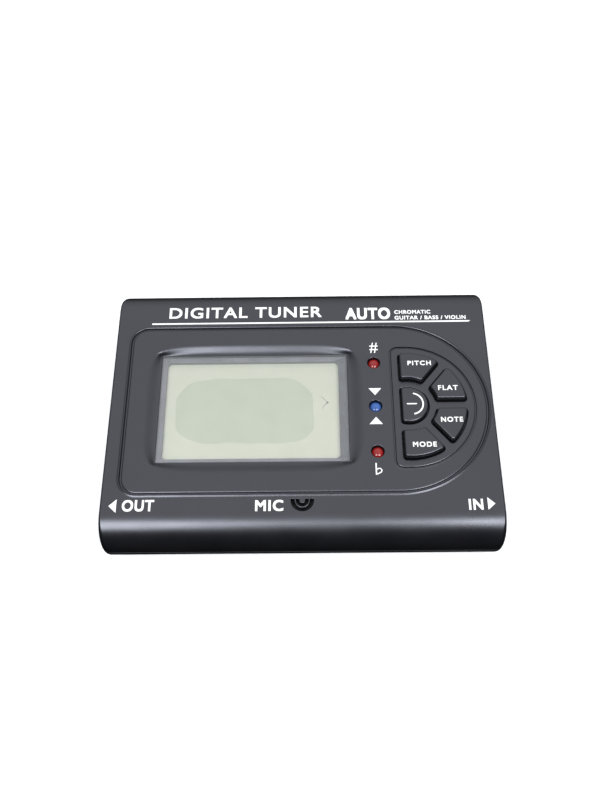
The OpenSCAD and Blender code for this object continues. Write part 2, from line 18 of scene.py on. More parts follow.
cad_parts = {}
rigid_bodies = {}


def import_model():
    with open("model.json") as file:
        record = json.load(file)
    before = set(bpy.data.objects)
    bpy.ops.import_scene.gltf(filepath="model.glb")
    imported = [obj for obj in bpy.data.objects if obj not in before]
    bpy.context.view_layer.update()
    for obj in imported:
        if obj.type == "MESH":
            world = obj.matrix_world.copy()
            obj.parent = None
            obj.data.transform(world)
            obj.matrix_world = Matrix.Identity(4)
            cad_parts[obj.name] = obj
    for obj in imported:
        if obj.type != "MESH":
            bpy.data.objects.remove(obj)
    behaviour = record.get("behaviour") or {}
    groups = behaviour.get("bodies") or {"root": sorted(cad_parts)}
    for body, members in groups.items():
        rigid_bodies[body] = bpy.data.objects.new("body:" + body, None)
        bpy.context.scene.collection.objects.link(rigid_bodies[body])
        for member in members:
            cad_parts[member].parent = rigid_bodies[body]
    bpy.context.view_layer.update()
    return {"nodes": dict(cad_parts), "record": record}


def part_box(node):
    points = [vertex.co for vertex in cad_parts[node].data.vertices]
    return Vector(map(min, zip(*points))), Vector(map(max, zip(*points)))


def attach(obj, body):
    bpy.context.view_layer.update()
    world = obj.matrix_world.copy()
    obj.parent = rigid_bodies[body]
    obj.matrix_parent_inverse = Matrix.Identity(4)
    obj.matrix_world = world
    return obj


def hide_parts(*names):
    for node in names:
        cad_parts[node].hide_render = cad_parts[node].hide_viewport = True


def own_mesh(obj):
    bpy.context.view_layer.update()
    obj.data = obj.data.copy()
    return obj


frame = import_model()

# %% [markdown]
# ## Working in millimetres
#
# A tuner is small, so lengths are written in millimetres and become metres only
# when a mesh is made. Places come from the boxes of the mechanical parts, so the
# two models can't drift apart.

# %% Driving dimensions, read from the frame
MM = 0.001


def box_mm(node):
    """Lowest and highest corner of a mechanical part, in millimetres."""
    return [np.array(corner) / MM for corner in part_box(node)]


case_low, case_high = box_mm("bottom_shell")
HALF_W = case_high[0]
HALF_D = case_high[1]
FOOT = case_low[2]
TOP = box_mm("top_shell")[1][2]
MID = (FOOT + TOP) / 2
ROLL = (TOP - FOOT) / 2          # radius of the round front and back edges
WALL = 1.8
CORNER = 2.2                     # radius of the corners, seen from above and from the front
EDGE = 0.6                       # rounding where the flat top meets the sides
CEILING = TOP - WALL
FLAT_Y = HALF_D - ROLL           # the top is flat between -FLAT_Y and FLAT_Y
print(f"case {2 * HALF_W:.1f} x {2 * HALF_D:.1f} x {TOP - FOOT:.1f} mm, roll {ROLL:.1f} mm")

# %% [markdown]
# ## Colour and material helpers
#
# A colour picked on a screen is coded in sRGB, and a shader wants linear light, so
# one function turns the hex value round. Another adds a node, sets its values and
# joins its inputs, which keeps each material down to a few readable lines.


# %% Colours and nodes
def linear(hex_colour, alpha=1.0):
    """Linear RGBA of an sRGB hex colour: below 0.04045 divide by 12.92, above it
    take ((c + 0.055) / 1.055) to the power 2.4."""
    c = np.array([int(hex_colour[i:i + 2], 16) for i in (1, 3, 5)]) / 255
    c = np.where(c <= 0.04045, c / 12.92, ((c + 0.055) / 1.055) ** 2.4)
    return (*c.tolist(), alpha)


def add(tree, kind, inputs=None, **settings):
    """Adds one node. An input given as a socket is linked, and any other is set."""
    made = tree.nodes.new(kind)
    for key, value in settings.items():
        setattr(made, key, value)
    for key, value in (inputs or {}).items():
        if isinstance(value, bpy.types.NodeSocket):
            tree.links.new(value, made.inputs[key])
        else:
            made.inputs[key].default_value = value
    return made


def new_material(name, **constants):
    """A Principled material with its constant values set, and its tree to add to."""
    material = bpy.data.materials.new(name)
    material.use_nodes = True
    tree = material.node_tree
    shader = tree.nodes["Principled BSDF"]
    for key, value in constants.items():
        shader.inputs[key.replace("_", " ")].default_value = value
    place = add(tree, "ShaderNodeTexCoord").outputs["Object"]
    return material, tree, shader, place


def noise(tree, place, size_mm, detail, **inputs):
    """Outputs of a noise with one lump per size_mm."""
    inputs = {"Vector": place, "Scale": 1 / (size_mm * MM), "Detail": detail, **inputs}
    return add(tree, "ShaderNodeTexNoise", inputs).outputs


def mix(tree, factor, low, high):
    """Colour between low, where the factor is 0, and high, where it is 1."""
    inputs = {"Fac": factor, "Color1": low, "Color2": high}
    return add(tree, "ShaderNodeMixRGB", inputs).outputs["Color"]


def maths(tree, operation, *values):
    """One step of arithmetic on numbers or sockets."""
    inputs = dict(enumerate(values))
    return add(tree, "ShaderNodeMath", inputs, operation=operation).outputs[0]


def ramp(tree, factor, *stops, interpolation="LINEAR"):
    """Colour ramp through (position, linear RGBA) stops, from the lowest up."""
    made = add(tree, "ShaderNodeValToRGB", {"Fac": factor})
    made.color_ramp.interpolation = interpolation
    elements = made.color_ramp.elements
    for i, (at, colour) in enumerate(stops):
        end = {0: 0, len(stops) - 1: -1}.get(i)
        stop = elements.new(at) if end is None else elements[end]
        stop.position, stop.color = at, colour
    return made.outputs["Color"]


def grain(tree, shader, place, size_mm, height_mm):
    """Fine relief: noise with one lump per size_mm, raised by height_mm."""
    lumps = noise(tree, place, size_mm, 4.0, Roughness=0.6)["Fac"]
    bump = add(tree, "ShaderNodeBump", {"Height": lumps, "Distance": height_mm * MM,
                                        "Strength": 1.0})
    tree.links.new(bump.outputs["Normal"], shader.inputs["Normal"])


def vary(tree, shader, place, socket, size_mm, low, high, detail=3.0):
    """Lets a number or a colour wander between low and high in patches of size_mm."""
    low, high = (v if isinstance(v, tuple) else (v, v, v, 1) for v in (low, high))
    wander = noise(tree, place, size_mm, detail)["Fac"]
    tree.links.new(ramp(tree, wander, (0.3, low), (0.7, high)), shader.inputs[socket])


def mottled(name, dark, light, patch_mm, lump_mm=0, height_mm=0, detail=3.0, uneven=None,
            **constants):
    """A material whose colour wanders between two tones. It has a fine relief where
    lump_mm is given, and uneven holds the patch size and the two ends of a
    roughness that wanders as well."""
    material, tree, shader, place = new_material(name, **constants)
    vary(tree, shader, place, "Base Color", patch_mm, linear(dark), linear(light), detail)
    if uneven:
        vary(tree, shader, place, "Roughness", *uneven)
    if lump_mm:
        grain(tree, shader, place, lump_mm, height_mm)
    return material


# %% [markdown]
# ## Moulded plastics
#
# The case is ABS, injection moulded in a mould whose steel was spark eroded: the
# skin has a fine, even grain a tenth of a millimetre across, which spreads a
# highlight into a satin bloom. The grain is drawn a little coarser than it is, so
# that it shows. The keys have the same plastic with a duller skin.

# %% Case and key plastics
COOL = (0.88, 0.90, 1.0, 1.0)     # the skin's sheen is a little blue


def moulded_abs(name, dark, light, roughness, grain_mm, grain_height, shine=0.5):
    """ABS (IOR 1.53) with a spark-eroded skin and slight handling shine."""
    return mottled(name, dark, light, 9, grain_mm, grain_height,
                   uneven=(14, roughness - 0.03, roughness + 0.04), IOR=1.53,
                   Roughness=roughness, Specular_IOR_Level=shine, Specular_Tint=COOL)


case_abs = moulded_abs("spark-eroded ABS, case", "#131316", "#17171A", 0.30, 0.16, 0.006, 0.92)
base_abs = moulded_abs("coarse-grained ABS, base", "#151516", "#19191A", 0.42, 0.30, 0.012, 0.7)
key_abs = moulded_abs("matt ABS, keys", "#0E0E10", "#121214", 0.36, 0.14, 0.005, 0.92)
white_abs = moulded_abs("white ABS", "#CFD0CF", "#DADBD9", 0.50, 0.30, 0.004)
jack_abs = moulded_abs("glass-filled nylon, black", "#131314", "#18181A", 0.48, 0.20, 0.010)
print("plastics:", case_abs.name, "|", key_abs.name)

# %% [markdown]
# ## Surfaces from arrays
#
# Every new piece is a few sheets of points: a grid of two parameters, a profile
# carried along a closed outline, or a flat face filled between outlines. The sheets
# are welded, turned to face outwards, and given smooth shading that breaks at real
# edges. A weighted normal keeps the big flat faces truly flat beside their fillets.


# %% Grids, outlines and flat faces
def grid_faces(rows, cols, closed=True):
    """Quads between neighbours of a grid stored row after row; closed also joins
    the last column to the first."""
    i, j = np.meshgrid(np.arange(rows - 1), np.arange(cols if closed else cols - 1),
                       indexing="ij")
    k = (j + 1) % cols
    return np.stack([i * cols + j, i * cols + k, (i + 1) * cols + k, (i + 1) * cols + j],
                    -1).reshape(-1, 4)


def outward(path):
    """Offset directions of a closed anticlockwise outline: the sum of the two
    neighbouring edge normals over one plus their dot product, which keeps both
    edges parallel when the outline is set off."""
    step = np.roll(path, -1, 0) - path
    n = np.stack([step[:, 1], -step[:, 0]], 1) / np.linalg.norm(step, axis=1, keepdims=True)
    before = np.roll(n, 1, 0)
    return (n + before) / (1 + (n * before).sum(1, keepdims=True))


def carry(path, profile):
    """Carries a profile of (offset, height) along a closed outline: each point is
    the outline's point plus offset times its outward direction, at that height."""
    path, profile = np.asarray(path, float), np.asarray(profile, float)
    flat = path[None] + profile[:, 0, None, None] * outward(path)[None]
    height = np.broadcast_to(profile[:, 1, None, None], (*flat.shape[:2], 1))
    return np.concatenate([flat, height], -1), grid_faces(len(profile), len(path))


def offset(path, distance):
    """The outline set off outwards by a distance."""
    return path + distance * outward(path)


def inside(path, points):
    """Even-odd test: counts the outline's edges that a ray towards +X crosses."""
    a, b = path[None], np.roll(path, -1, 0)[None]
    x, y = points[:, 0, None], points[:, 1, None]
    rise = np.where(a[..., 1] == b[..., 1], 1e-12, b[..., 1] - a[..., 1])
    crosses = (a[..., 1] > y) != (b[..., 1] > y)
    at = a[..., 0] + (y - a[..., 1]) * (b[..., 0] - a[..., 0]) / rise
    return (crosses & (x < at)).sum(1) % 2 == 1


def fill(height, *outlines):
    """A flat face between outlines: the triangles of a Delaunay mesh through all
    their points whose centres lie inside an odd number of them."""
    points = np.concatenate(outlines)
    edges, start = [], 0
    for path in outlines:
        k = np.arange(len(path))
        edges += (np.stack([k, (k + 1) % len(path)], 1) + start).tolist()
        start += len(path)
    found = delaunay_2d_cdt([Vector(p) for p in points.tolist()], edges, [], 0, 1e-7)
    flat, faces = np.array(found[0]), np.array(found[2])
    centres = flat[faces].mean(1)
    odd = sum(inside(path, centres).astype(int) for path in outlines) % 2 == 1
    return np.c_[flat, np.full(len(flat), height)], faces[odd]


def fillet(x, z, radius, turn, steps=5):
    """Quarter circle from directly above a corner's centre to its side:
    (x + turn * r * (1 - sin a), z - r * (1 - cos a)) for a from 90 to 0 degrees."""
    a = np.linspace(0, np.pi / 2, steps)
    return np.stack([x + turn * radius * (1 - np.sin(a)), z - radius * (1 - np.cos(a))], 1)


def piece(name, patches, material, body, replaces=(), sharp_deg=32, weld=0.002):
    """Joins sheets of points into one mesh object and hangs it on its body."""
    points, faces, start = [], [], 0
    for sheet, quads in patches:
        sheet = np.reshape(sheet, (-1, 3))
        points.append(sheet)
        faces += (np.asarray(quads) + start).tolist()
        start += len(sheet)
    mesh = bpy.data.meshes.new(name)
    mesh.from_pydata(np.concatenate(points) * MM, [], faces)
    work = bmesh.new()
    work.from_mesh(mesh)
    bmesh.ops.remove_doubles(work, verts=work.verts, dist=weld * MM)
    bmesh.ops.recalc_face_normals(work, faces=work.faces)
    loose = [v for v in work.verts if not v.link_faces]
    bmesh.ops.delete(work, geom=loose, context="VERTS")
    gaps = sum(not e.is_manifold for e in work.edges)
    work.to_mesh(mesh)
    work.free()
    mesh.shade_smooth()
    mesh.set_sharp_from_angle(angle=np.radians(sharp_deg))
    made = bpy.data.objects.new(name, mesh)
    bpy.context.collection.objects.link(made)
    mesh.materials.append(material)
    made.modifiers.new("flat faces stay flat", "WEIGHTED_NORMAL").keep_sharp = True
    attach(made, body)
    if replaces:
        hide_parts(*replaces)
    print(f"{name}: {len(mesh.vertices)} points, {len(mesh.polygons)} faces, {gaps} open edges")
    return made


# %% Outlines
def arc(cx, cy, radius, start, end, steps):
    """Points of a circle between two angles in degrees."""
    a = np.radians(np.linspace(start, end, steps))
    return np.stack([cx + radius * np.cos(a), cy + radius * np.sin(a)], 1)


def ring(cx, cy, radius, steps=48):
    """A whole circle."""
    return arc(cx, cy, radius, 0, 360 - 360 / steps, steps)


def rounded_box(x0, x1, y0, y1, radii, steps=10):
    """Rectangle with its own radius at each corner, anticlockwise from the lower
    right: four quarter circles joined by straight sides."""
    centres = [(x1, y0, -1, 1), (x1, y1, -1, -1), (x0, y1, 1, -1), (x0, y0, 1, 1)]
    turns = [arc(x + sx * r, y + sy * r, r, 90 * k - 90, 90 * k, max(steps, int(4 * r)))
             for k, ((x, y, sx, sy), r) in enumerate(zip(centres, radii))]
    return np.concatenate(turns)


def dee(left, centre_x, radius, corner):
    """A D on the control line: the right-hand corners' radius is half its height."""
    path = rounded_box(left, centre_x + radius, -radius, radius,
                       (radius, radius, corner, corner))
    keep = np.linalg.norm(path - np.roll(path, 1, 0), axis=1) > 1e-6
    return path[keep] + (0, LINE_Y)


# %% [markdown]
# ## The fan of keys
#
# Four keys are slices of a ring and the fifth is a D in its middle. A slice lies
# between two straight edges, inside one circle and outside another, and its
# corners are rounded. Its outline is found by drawing the slice smaller by the
# corner radius and rolling a circle round it, which gives exact arcs everywhere.

# %% Key outlines
LINE_Y = -0.7
KEY_LEFT = box_mm("key_power")[0][0] + 0.5
FAN_X, FAN_R, FAN_INNER, POWER_R = 29.2, 16.2, 7.6, 5.7
GAP, SPLIT, KEY_CORNER = 2.2, 50.5, 0.9
KEY_NAMES = ("pitch", "flat", "power", "note", "mode")


def roll_corner(x, y, radius, start, end, steps=7):
    """The circle rolled round a corner, turning left from one normal to the next."""
    return arc(x, y, radius, start, start + (end - start) % 360, steps)


def slice_outline(start, end, inset, corner):
    """A slice of the ring. start and end are its straight edges, each the angle of
    its normal and its distance from the centre: a corner is where an edge meets a
    circle, at n * d + m * sqrt(r^2 - d^2)."""
    def corner_at(edge, circle_r, turn):
        normal = np.radians(edge[0])
        d = edge[1] - inset - corner
        along = normal + turn * np.pi / 2
        reach = np.sqrt(circle_r ** 2 - d ** 2)
        x = d * np.cos(normal) + reach * np.cos(along)
        y = d * np.sin(normal) + reach * np.sin(along)
        return x, y, np.degrees(np.arctan2(y, x))
    outer, inner = FAN_R - inset - corner, FAN_INNER + inset + corner
    a, b = corner_at(start, outer, 1), corner_at(end, outer, -1)
    c, d = corner_at(end, inner, -1), corner_at(start, inner, 1)
    return np.concatenate([
        roll_corner(*a[:2], corner, start[0], a[2]),
        arc(0, 0, outer + corner, a[2], b[2], 26)[1:-1],
        roll_corner(*b[:2], corner, b[2], end[0]),
        roll_corner(*c[:2], corner, end[0], c[2] + 180),
        arc(0, 0, inner - corner, c[2], d[2], 16)[1:-1],
        roll_corner(*d[:2], corner, d[2] + 180, start[0])])


def key_outline(i, inset=0.0):
    """Outline of key hole i, counted from the back, drawn in by inset."""
    corner = max(KEY_CORNER - 0.6 * inset, 0.25)
    half = -GAP / 2
    left = (180.0, FAN_X - KEY_LEFT)
    if i == 2:
        r, d = POWER_R - inset - corner, left[1] - inset - corner
        a = np.degrees(np.arccos(-d / r))
        x, y = -d, r * np.sin(np.radians(a))
        path = np.concatenate([arc(0, 0, r + corner, -a, a, 40)[1:-1],
                               roll_corner(x, y, corner, a, 180.0),
                               roll_corner(x, -y, corner, 180.0, 360.0 - a)])
    elif i == 0:
        path = slice_outline((SPLIT - 90, half), left, inset, corner)
    elif i == 1:
        path = slice_outline((-90.0, half), (SPLIT + 90, half), inset, corner)
    else:
        return key_outline(4 - i, inset)[::-1] * (1, -1) + (0, 2 * LINE_Y)
    return path + (FAN_X, LINE_Y)


key_holes = [key_outline(i) for i in range(5)]
for i, name in enumerate(KEY_NAMES):
    low, high = key_holes[i].min(0), key_holes[i].max(0)
    print(f"hole for the {name} key: {high[0] - low[0]:.1f} x {high[1] - low[1]:.1f} mm")

# %% [markdown]
# ## The case as a sheet
#
# Seen from the side the case is a bar with fully round front and back edges. One
# sheet follows it: its rows run over the side view, and each row ends in a quarter
# circle that turns down into the flat side wall, small along the top and larger
# round the corners. The same sheet, set in by the wall, is the inside. Half a
# circle is left out of each side for a jack.

# %% The case sheet
JACK_Y = (box_mm("input_jack_sleeve")[0][1] + box_mm("input_jack_sleeve")[1][1]) / 2
BUSH_R = 4.55
SEAM = 0.25                       # height of the bevel that makes the parting line
WALL_STEPS, EDGE_STEPS = 2, 7
FIRST = WALL_STEPS + EDGE_STEPS - 1
roll_angles = np.radians(np.r_[0, 1.8, np.linspace(5, 90, 22)])
jack_rows = JACK_Y + BUSH_R * np.cos(np.linspace(np.pi, 0, 19))


def case_sheet(side, inset=0.0, rows=(), middle=(), edge=EDGE, bevel=0.18):
    """Half of the case, side = 1 above the parting plane or -1 below. Each row ends
    in a quarter circle from the side wall's normal M to the row's own normal N:
    corner - e * (M + N) + e * (M * cos t + N * sin t). Its radius e is edge on the
    flat and grows to the corner's radius round the roll."""
    r, w = ROLL - inset, HALF_W - inset
    flat = np.array(sorted([*jack_rows, *rows]))
    a, b = roll_angles, roll_angles[::-1]
    y = np.r_[-FLAT_Y - r * np.cos(a), flat, FLAT_Y + r * np.cos(b)]
    n = np.stack([0 * y, np.r_[-np.cos(a), 0 * flat, np.cos(b)],
                  np.r_[np.sin(a), 0 * flat + 1, np.sin(b)]], 1)
    m = np.broadcast_to([1.0, 0.0, 0.0], n.shape)
    e = (edge + (max(CORNER - inset, 1.0) - edge) * n[:, 1:2] ** 2)[:, None]
    corner = np.stack([0 * y + w, y, r * n[:, 2]], 1)
    t = np.linspace(0, np.pi / 2, EDGE_STEPS)[None, :, None]
    turn = m[:, None] * np.cos(t) + n[:, None] * np.sin(t)
    rim = corner[:, None] - e * (m + n)[:, None] + e * turn
    notch = np.sqrt(np.clip(BUSH_R ** 2 - (y - JACK_Y) ** 2, 0, None))
    wall = np.repeat(rim[:, :1], WALL_STEPS, 1)
    wall[:, 0, 2] = notch
    wall[:, 1, 2] = np.minimum(rim[:, 0, 2], notch + SEAM)
    right = np.concatenate([wall, rim], 1)
    facing = np.concatenate([np.repeat(m[:, None], WALL_STEPS, 1), turn], 1)
    across = np.array(sorted(middle))
    centre = np.repeat(corner[:, None], len(across), 1)
    centre[..., 0] = across
    mirror = np.array([-1, 1, 1])
    sheet = np.concatenate([right * mirror, centre, right[:, ::-1]], 1)
    normal = np.concatenate([facing * mirror, np.repeat(n[:, None], len(across), 1),
                             facing[:, ::-1]], 1)
    low = np.zeros(sheet.shape[:2])
    low[:, :FIRST + 1] = low[:, -FIRST - 1:] = notch[:, None]
    bevelled = bevel * np.clip(1 - (sheet[..., 2] - low) / SEAM, 0, 1)[..., None]
    level = normal * (1, 1, 0)
    level /= np.maximum(np.linalg.norm(level, axis=2, keepdims=True), 1e-9)
    sheet = sheet - bevelled * level
    sheet[..., 2] = MID + side * sheet[..., 2]
    start = len(a) - 1
    return sheet, slice(start, start + len(flat) + 2)


def around(block):
    """The points round the edge of a grid, anticlockwise."""
    return np.concatenate([block[0], block[1:, -1], block[-1, -2::-1], block[-2:0:-1, 0]])


def without(sheet, rows, first, last):
    """The faces of a sheet, less the block between the given rows and columns."""
    count = sheet.shape[1]
    faces = grid_faces(len(sheet), count, closed=False)
    i, j = faces[:, 0] // count, faces[:, 0] % count
    gone = (i >= rows.start) & (i < rows.stop - 1) & (j >= first) & (j < last)
    return faces[~gone]


outer, flat_rows = case_sheet(1)
inner, _ = case_sheet(1, WALL, edge=0.3, bevel=0.0)
last_column = outer.shape[1] - 1 - FIRST
print("case sheet:", outer.shape[0], "rows of", outer.shape[1], "points")

# %% [markdown]
# ## The top shell
#
# The flat top is filled between outlines. A line of a fine groove with a low bead
# outside it draws the big D, and a smaller one draws the well of the keys. The
# field round the window sinks in a smooth slope, so it is lofted from a soft
# rectangle at the rim down to the window's sharp one. Holes have a small rounded
# edge and a wall, because a moulded edge is never quite sharp and catches light.

# %% Panel lines, holes and the sunk field
panel = dee(-47.9, 25.5, 25.3, 4.6)
well = dee(24.85, 29.1, 18.45, 2.2)
PANEL_LINE = (0, TOP) + np.array([
    (-0.85, 0), (-0.62, -0.02), (-0.44, -0.09), (-0.32, -0.2), (-0.24, -0.36), (0.04, -0.36),
    (0.16, -0.14), (0.26, 0.06), (0.38, 0.16), (0.50, 0.20), (0.64, 0.15), (0.80, 0.04), (1.0, 0)])
WELL_LINE = (0, TOP) + np.array([
    (-0.62, 0), (-0.44, -0.02), (-0.32, -0.08), (-0.22, -0.18), (-0.17, -0.38), (0.10, -0.38),
    (0.16, -0.06), (0.22, 0.04), (0.34, 0.08), (0.48, 0.05), (0.62, 0)])


def hole_profile(radius):
    """Rounded edge of a hole at the top, then its wall down to the ceiling."""
    return np.concatenate([fillet(0, TOP, radius, 1), [(0, CEILING)]])


LAMP_X, LAMP_R, LAMP_PITCH = 20.28, 1.74, 13.6
lamp_rings = [ring(LAMP_X, LINE_Y + k * LAMP_PITCH, LAMP_R) for k in (1, 0, -1)]
MIC_X, MIC_Y = 0.1, -28.05


def mic_slot(inner_r, outer_r):
    """A U: half a ring below the microphone's centre, with short upright ends."""
    up = 0.4
    tips = np.array([(outer_r, up), (inner_r, up)])
    path = np.concatenate([arc(0, 0, outer_r, 180, 360, 24), tips,
                           arc(0, 0, inner_r, 360, 180, 18), tips[::-1] * (-1, 1)])
    return path + (MIC_X, MIC_Y)


mic_slots = [mic_slot(2.05, 2.95), mic_slot(0.8, 1.6)]
window_low, window_high = box_mm("display_window")
window_mid = (window_low + window_high)[:2] / 2
pocket_half = (window_high - window_low)[:2] / 2 + 0.12
FLOOR = window_high[2]
LEDGE = box_mm("window_adhesive")[0][2]
LCD_TOP = box_mm("lcd_polarizer")[1][2]
BACK = LCD_TOP + 0.05             # the frame stands just clear of the display
opening = rounded_box(-37.75, 10.4, -15.15, 14.75, (1.3,) * 4)
(left, front), (right, back) = window_mid - (30, 20), window_mid + (30, 20)
block = rounded_box(left, right, front, back, (1,) * 4)


RIM_HALF, RIM_SHIFT = (30.5, 20.1), (0.25, -0.2)


def sunk_field(steps=15, power=5.5):
    """Loft from the window's rectangle (v = 0) to a soft rectangle at the rim
    (v = 1). Along a ray at angle t the first lies at min(a/|cos t|, b/|sin t|) and
    the second at (|cos t/A|^p + |sin t/B|^p)^(-1/p). Height falls by the depth
    times (1 - v)^2 (1 + 2v), which is level at both ends."""
    exact = np.arctan2(pocket_half[1], pocket_half[0])
    t = np.sort(np.r_[np.linspace(0, 2 * np.pi, 160, endpoint=False),
                      exact, np.pi - exact, np.pi + exact, 2 * np.pi - exact])
    c, s = np.abs(np.cos(t)), np.abs(np.sin(t))
    near = np.minimum(pocket_half[0] / np.maximum(c, 1e-9), pocket_half[1] / np.maximum(s, 1e-9))
    far = ((c / RIM_HALF[0]) ** power + (s / RIM_HALF[1]) ** power) ** (-1 / power)
    way = np.stack([np.cos(t), np.sin(t)], 1)
    v = np.linspace(0, 1, steps)[:, None, None]
    rim_mid = window_mid + RIM_SHIFT
    flat = (window_mid + near[:, None] * way) * (1 - v) + (rim_mid + far[:, None] * way) * v
    height = np.broadcast_to(TOP - (TOP - FLOOR) * (1 - v) ** 2 * (1 + 2 * v), (*flat.shape[:2], 1))
    return np.concatenate([flat, height], -1)


field = sunk_field()
pocket, field_rim = field[0, :, :2], field[-1, :, :2]

# %% Top shell
HOLE_EDGE = 0.22
edge_profile = hole_profile(HOLE_EDGE)
holes = [*lamp_rings, *key_holes, *mic_slots]
piece("top_shell_skin", [
    (outer, without(outer, flat_rows, FIRST, last_column)),
    (inner, without(inner, flat_rows, FIRST, last_column)),
    (np.stack([around(outer), around(inner)]), grid_faces(2, len(around(outer)))),
    fill(TOP, around(outer[flat_rows, FIRST:last_column + 1])[:, :2],
         offset(panel, PANEL_LINE[-1, 0]), *(offset(m, HOLE_EDGE) for m in mic_slots)),
    carry(panel, PANEL_LINE),
    fill(TOP, offset(panel, PANEL_LINE[0, 0]), field_rim, offset(well, WELL_LINE[-1, 0]),
         *(offset(p, HOLE_EDGE) for p in lamp_rings)),
    carry(well, WELL_LINE),
    fill(TOP, offset(well, WELL_LINE[0, 0]), *(offset(p, HOLE_EDGE) for p in key_holes)),
    *(carry(p, edge_profile) for p in holes),
    (field, grid_faces(*field.shape[:2])),
    carry(pocket, [(0, FLOOR), (0, LEDGE)]),
    fill(LEDGE, pocket, opening),
    carry(opening, [(0, LEDGE), (0, BACK)]),
    fill(BACK, opening, block),
    carry(block, [(0, BACK), (0, CEILING)]),
    fill(CEILING, around(inner[flat_rows, FIRST:last_column + 1])[:, :2], block, *holes),
], case_abs, "tuner", ["top_shell"])

# %% [markdown]
# ## Keys
#
# Each key stands in its hole with a hair of clearance. Its side rises from a flange
# that can't pass the hole, its edge is broken by a rounded bevel that shows as a
# bright line, and a stem below presses a rubber dome.


# %% Keys
def lathe(centre, profile, steps=48, axis="z"):
    """Carries a profile of (radius, position along the axis) round the axis:
    radius * cos a and radius * sin a in the two other directions."""
    profile = np.asarray(profile, float)
    a = np.linspace(0, 2 * np.pi, steps, endpoint=False)
    r, along = profile[:, :1], np.broadcast_to(profile[:, 1:], (len(profile), steps))
    u, v = r * np.cos(a), r * np.sin(a)
    order = (u, v, along) if axis == "z" else (along, u, v)
    return np.stack(order, -1) + np.asarray(centre, float), grid_faces(len(profile), steps)


def centre_of(node):
    """Middle of a mechanical part, seen from above."""
    low, high = box_mm(node)
    return (low + high)[:2] / 2


def key_patches(i, name):
    """Rings of the key's outline, each drawn in by its own amount, closed by a flat
    face below and above."""
    low, high = box_mm("key_" + name)
    flange, top, clear = CEILING - 0.1, high[2], 0.32
    steps = [(-0.5, flange - 0.8), (-0.5, flange), (clear, flange), (clear, top - 0.62),
             (clear + 0.05, top - 0.40), (clear + 0.16, top - 0.2), (clear + 0.34, top - 0.06),
             (clear + 0.56, top)]
    rings = np.stack([np.c_[key_outline(i, inset), np.full(len(key_holes[i]), z)]
                      for inset, z in steps])
    tip, root = low[2], flange - 0.8
    stem = [(0, tip), (1.75, tip), (1.9, tip + 0.15), (1.9, root + 0.1), (0, root + 0.1)]
    return [(rings, grid_faces(*rings.shape[:2])), fill(top, rings[-1, :, :2]),
            fill(root, rings[0, :, :2]), lathe((*centre_of("dome_" + name), 0), stem, 32)]


for i, name in enumerate(KEY_NAMES):
    piece(name + "_key_cap", key_patches(i, name), key_abs, name + "_key",
          ["key_" + name])

# %% [markdown]
# ## Lower shell and battery door
#
# The lower shell is the same sheet turned over, with an opening at the back for the
# door, four sunk screw holes and four shallow seats for the feet. It is one skin
# that a Solidify modifier thickens inwards, which also gives each screw hole the
# boss that a moulded part has. The door is the block that was left out, a little
# smaller, with ridges for a thumb.

# %% Lower shell
DOOR_GAP = 0.15
DOOR_X = box_mm("battery_door")[1][0] + DOOR_GAP
DOOR_Y = 25.5                     # front edge of the door's opening


def node_centres(node, split_x=0.0, split_y=0.0):
    """Centres of four solids of one node that stand in the four quarters."""
    points = np.array([v.co for v in frame["nodes"][node].data.vertices]) / MM
    found = []
    for sx in (-1, 1):
        for sy in (-1, 1):
            own = points[(sx * (points[:, 0] - split_x) > 0) & (sy * (points[:, 1] - split_y) > 0)]
            found.append((own.min(0) + own.max(0))[:2] / 2)
    return found


screw_places = node_centres("case_screws", 0, 2)
foot_places = node_centres("rubber_feet", 0, -4)
base, _ = case_sheet(-1, rows=(DOOR_Y,), middle=(-DOOR_X, DOOR_X))
base_flat = slice(flat_rows.start, flat_rows.stop + 1)
door_row = int(np.argmax(base[:, 0, 1] > DOOR_Y - 0.01))
left_edge, right_edge = FIRST + 1, FIRST + 2
kept = without(base, base_flat, FIRST, base.shape[1] - 1 - FIRST)
count = base.shape[1]
behind = (kept[:, 0] // count >= door_row) & (kept[:, 0] % count == left_edge)
flat_block = base[base_flat, FIRST:base.shape[1] - FIRST, :2]
notch_at = door_row - base_flat.start
around_base = np.concatenate([
    flat_block[0], flat_block[1:, -1], flat_block[-1, -2:-1], flat_block[notch_at, 2:0:-1],
    flat_block[-1, 1::-1], flat_block[-2:0:-1, 0]])
SCREW_R, SCREW_DEPTH, SHANK_R = 2.8, 3.6, 1.4
FOOT_R, FOOT_DEPTH, SUNK_EDGE = 4.1, 0.7, 0.2
screw_rings = [ring(*p, SCREW_R) for p in screw_places]
foot_rings = [ring(*p, FOOT_R, 64) for p in foot_places]


def sunk(path, depth):
    """A rounded edge in the underside, then a wall up to the given depth."""
    edge = fillet(0, 0, SUNK_EDGE, 1) * (1, -1) + (0, FOOT)
    return carry(path, np.concatenate([edge, [(0, FOOT + depth)]]))


base_shell = piece("lower_shell_skin", [
    (base, kept[~behind]),
    fill(FOOT, around_base, *(offset(p, SUNK_EDGE) for p in screw_rings + foot_rings)),
    *(sunk(p, SCREW_DEPTH) for p in screw_rings), *(sunk(p, FOOT_DEPTH) for p in foot_rings),
    *(fill(FOOT + FOOT_DEPTH, p) for p in foot_rings),
    *(fill(FOOT + SCREW_DEPTH, p, ring(*c, SHANK_R, 24))
      for p, c in zip(screw_rings, screw_places)),
], base_abs, "tuner", ["bottom_shell"])


def thicken(made, thickness):
    """Gives a skin a wall on its inner side."""
    wall = made.modifiers.new("wall", "SOLIDIFY")
    wall.thickness, wall.offset, wall.use_even_offset = thickness * MM, -1, False
    return made


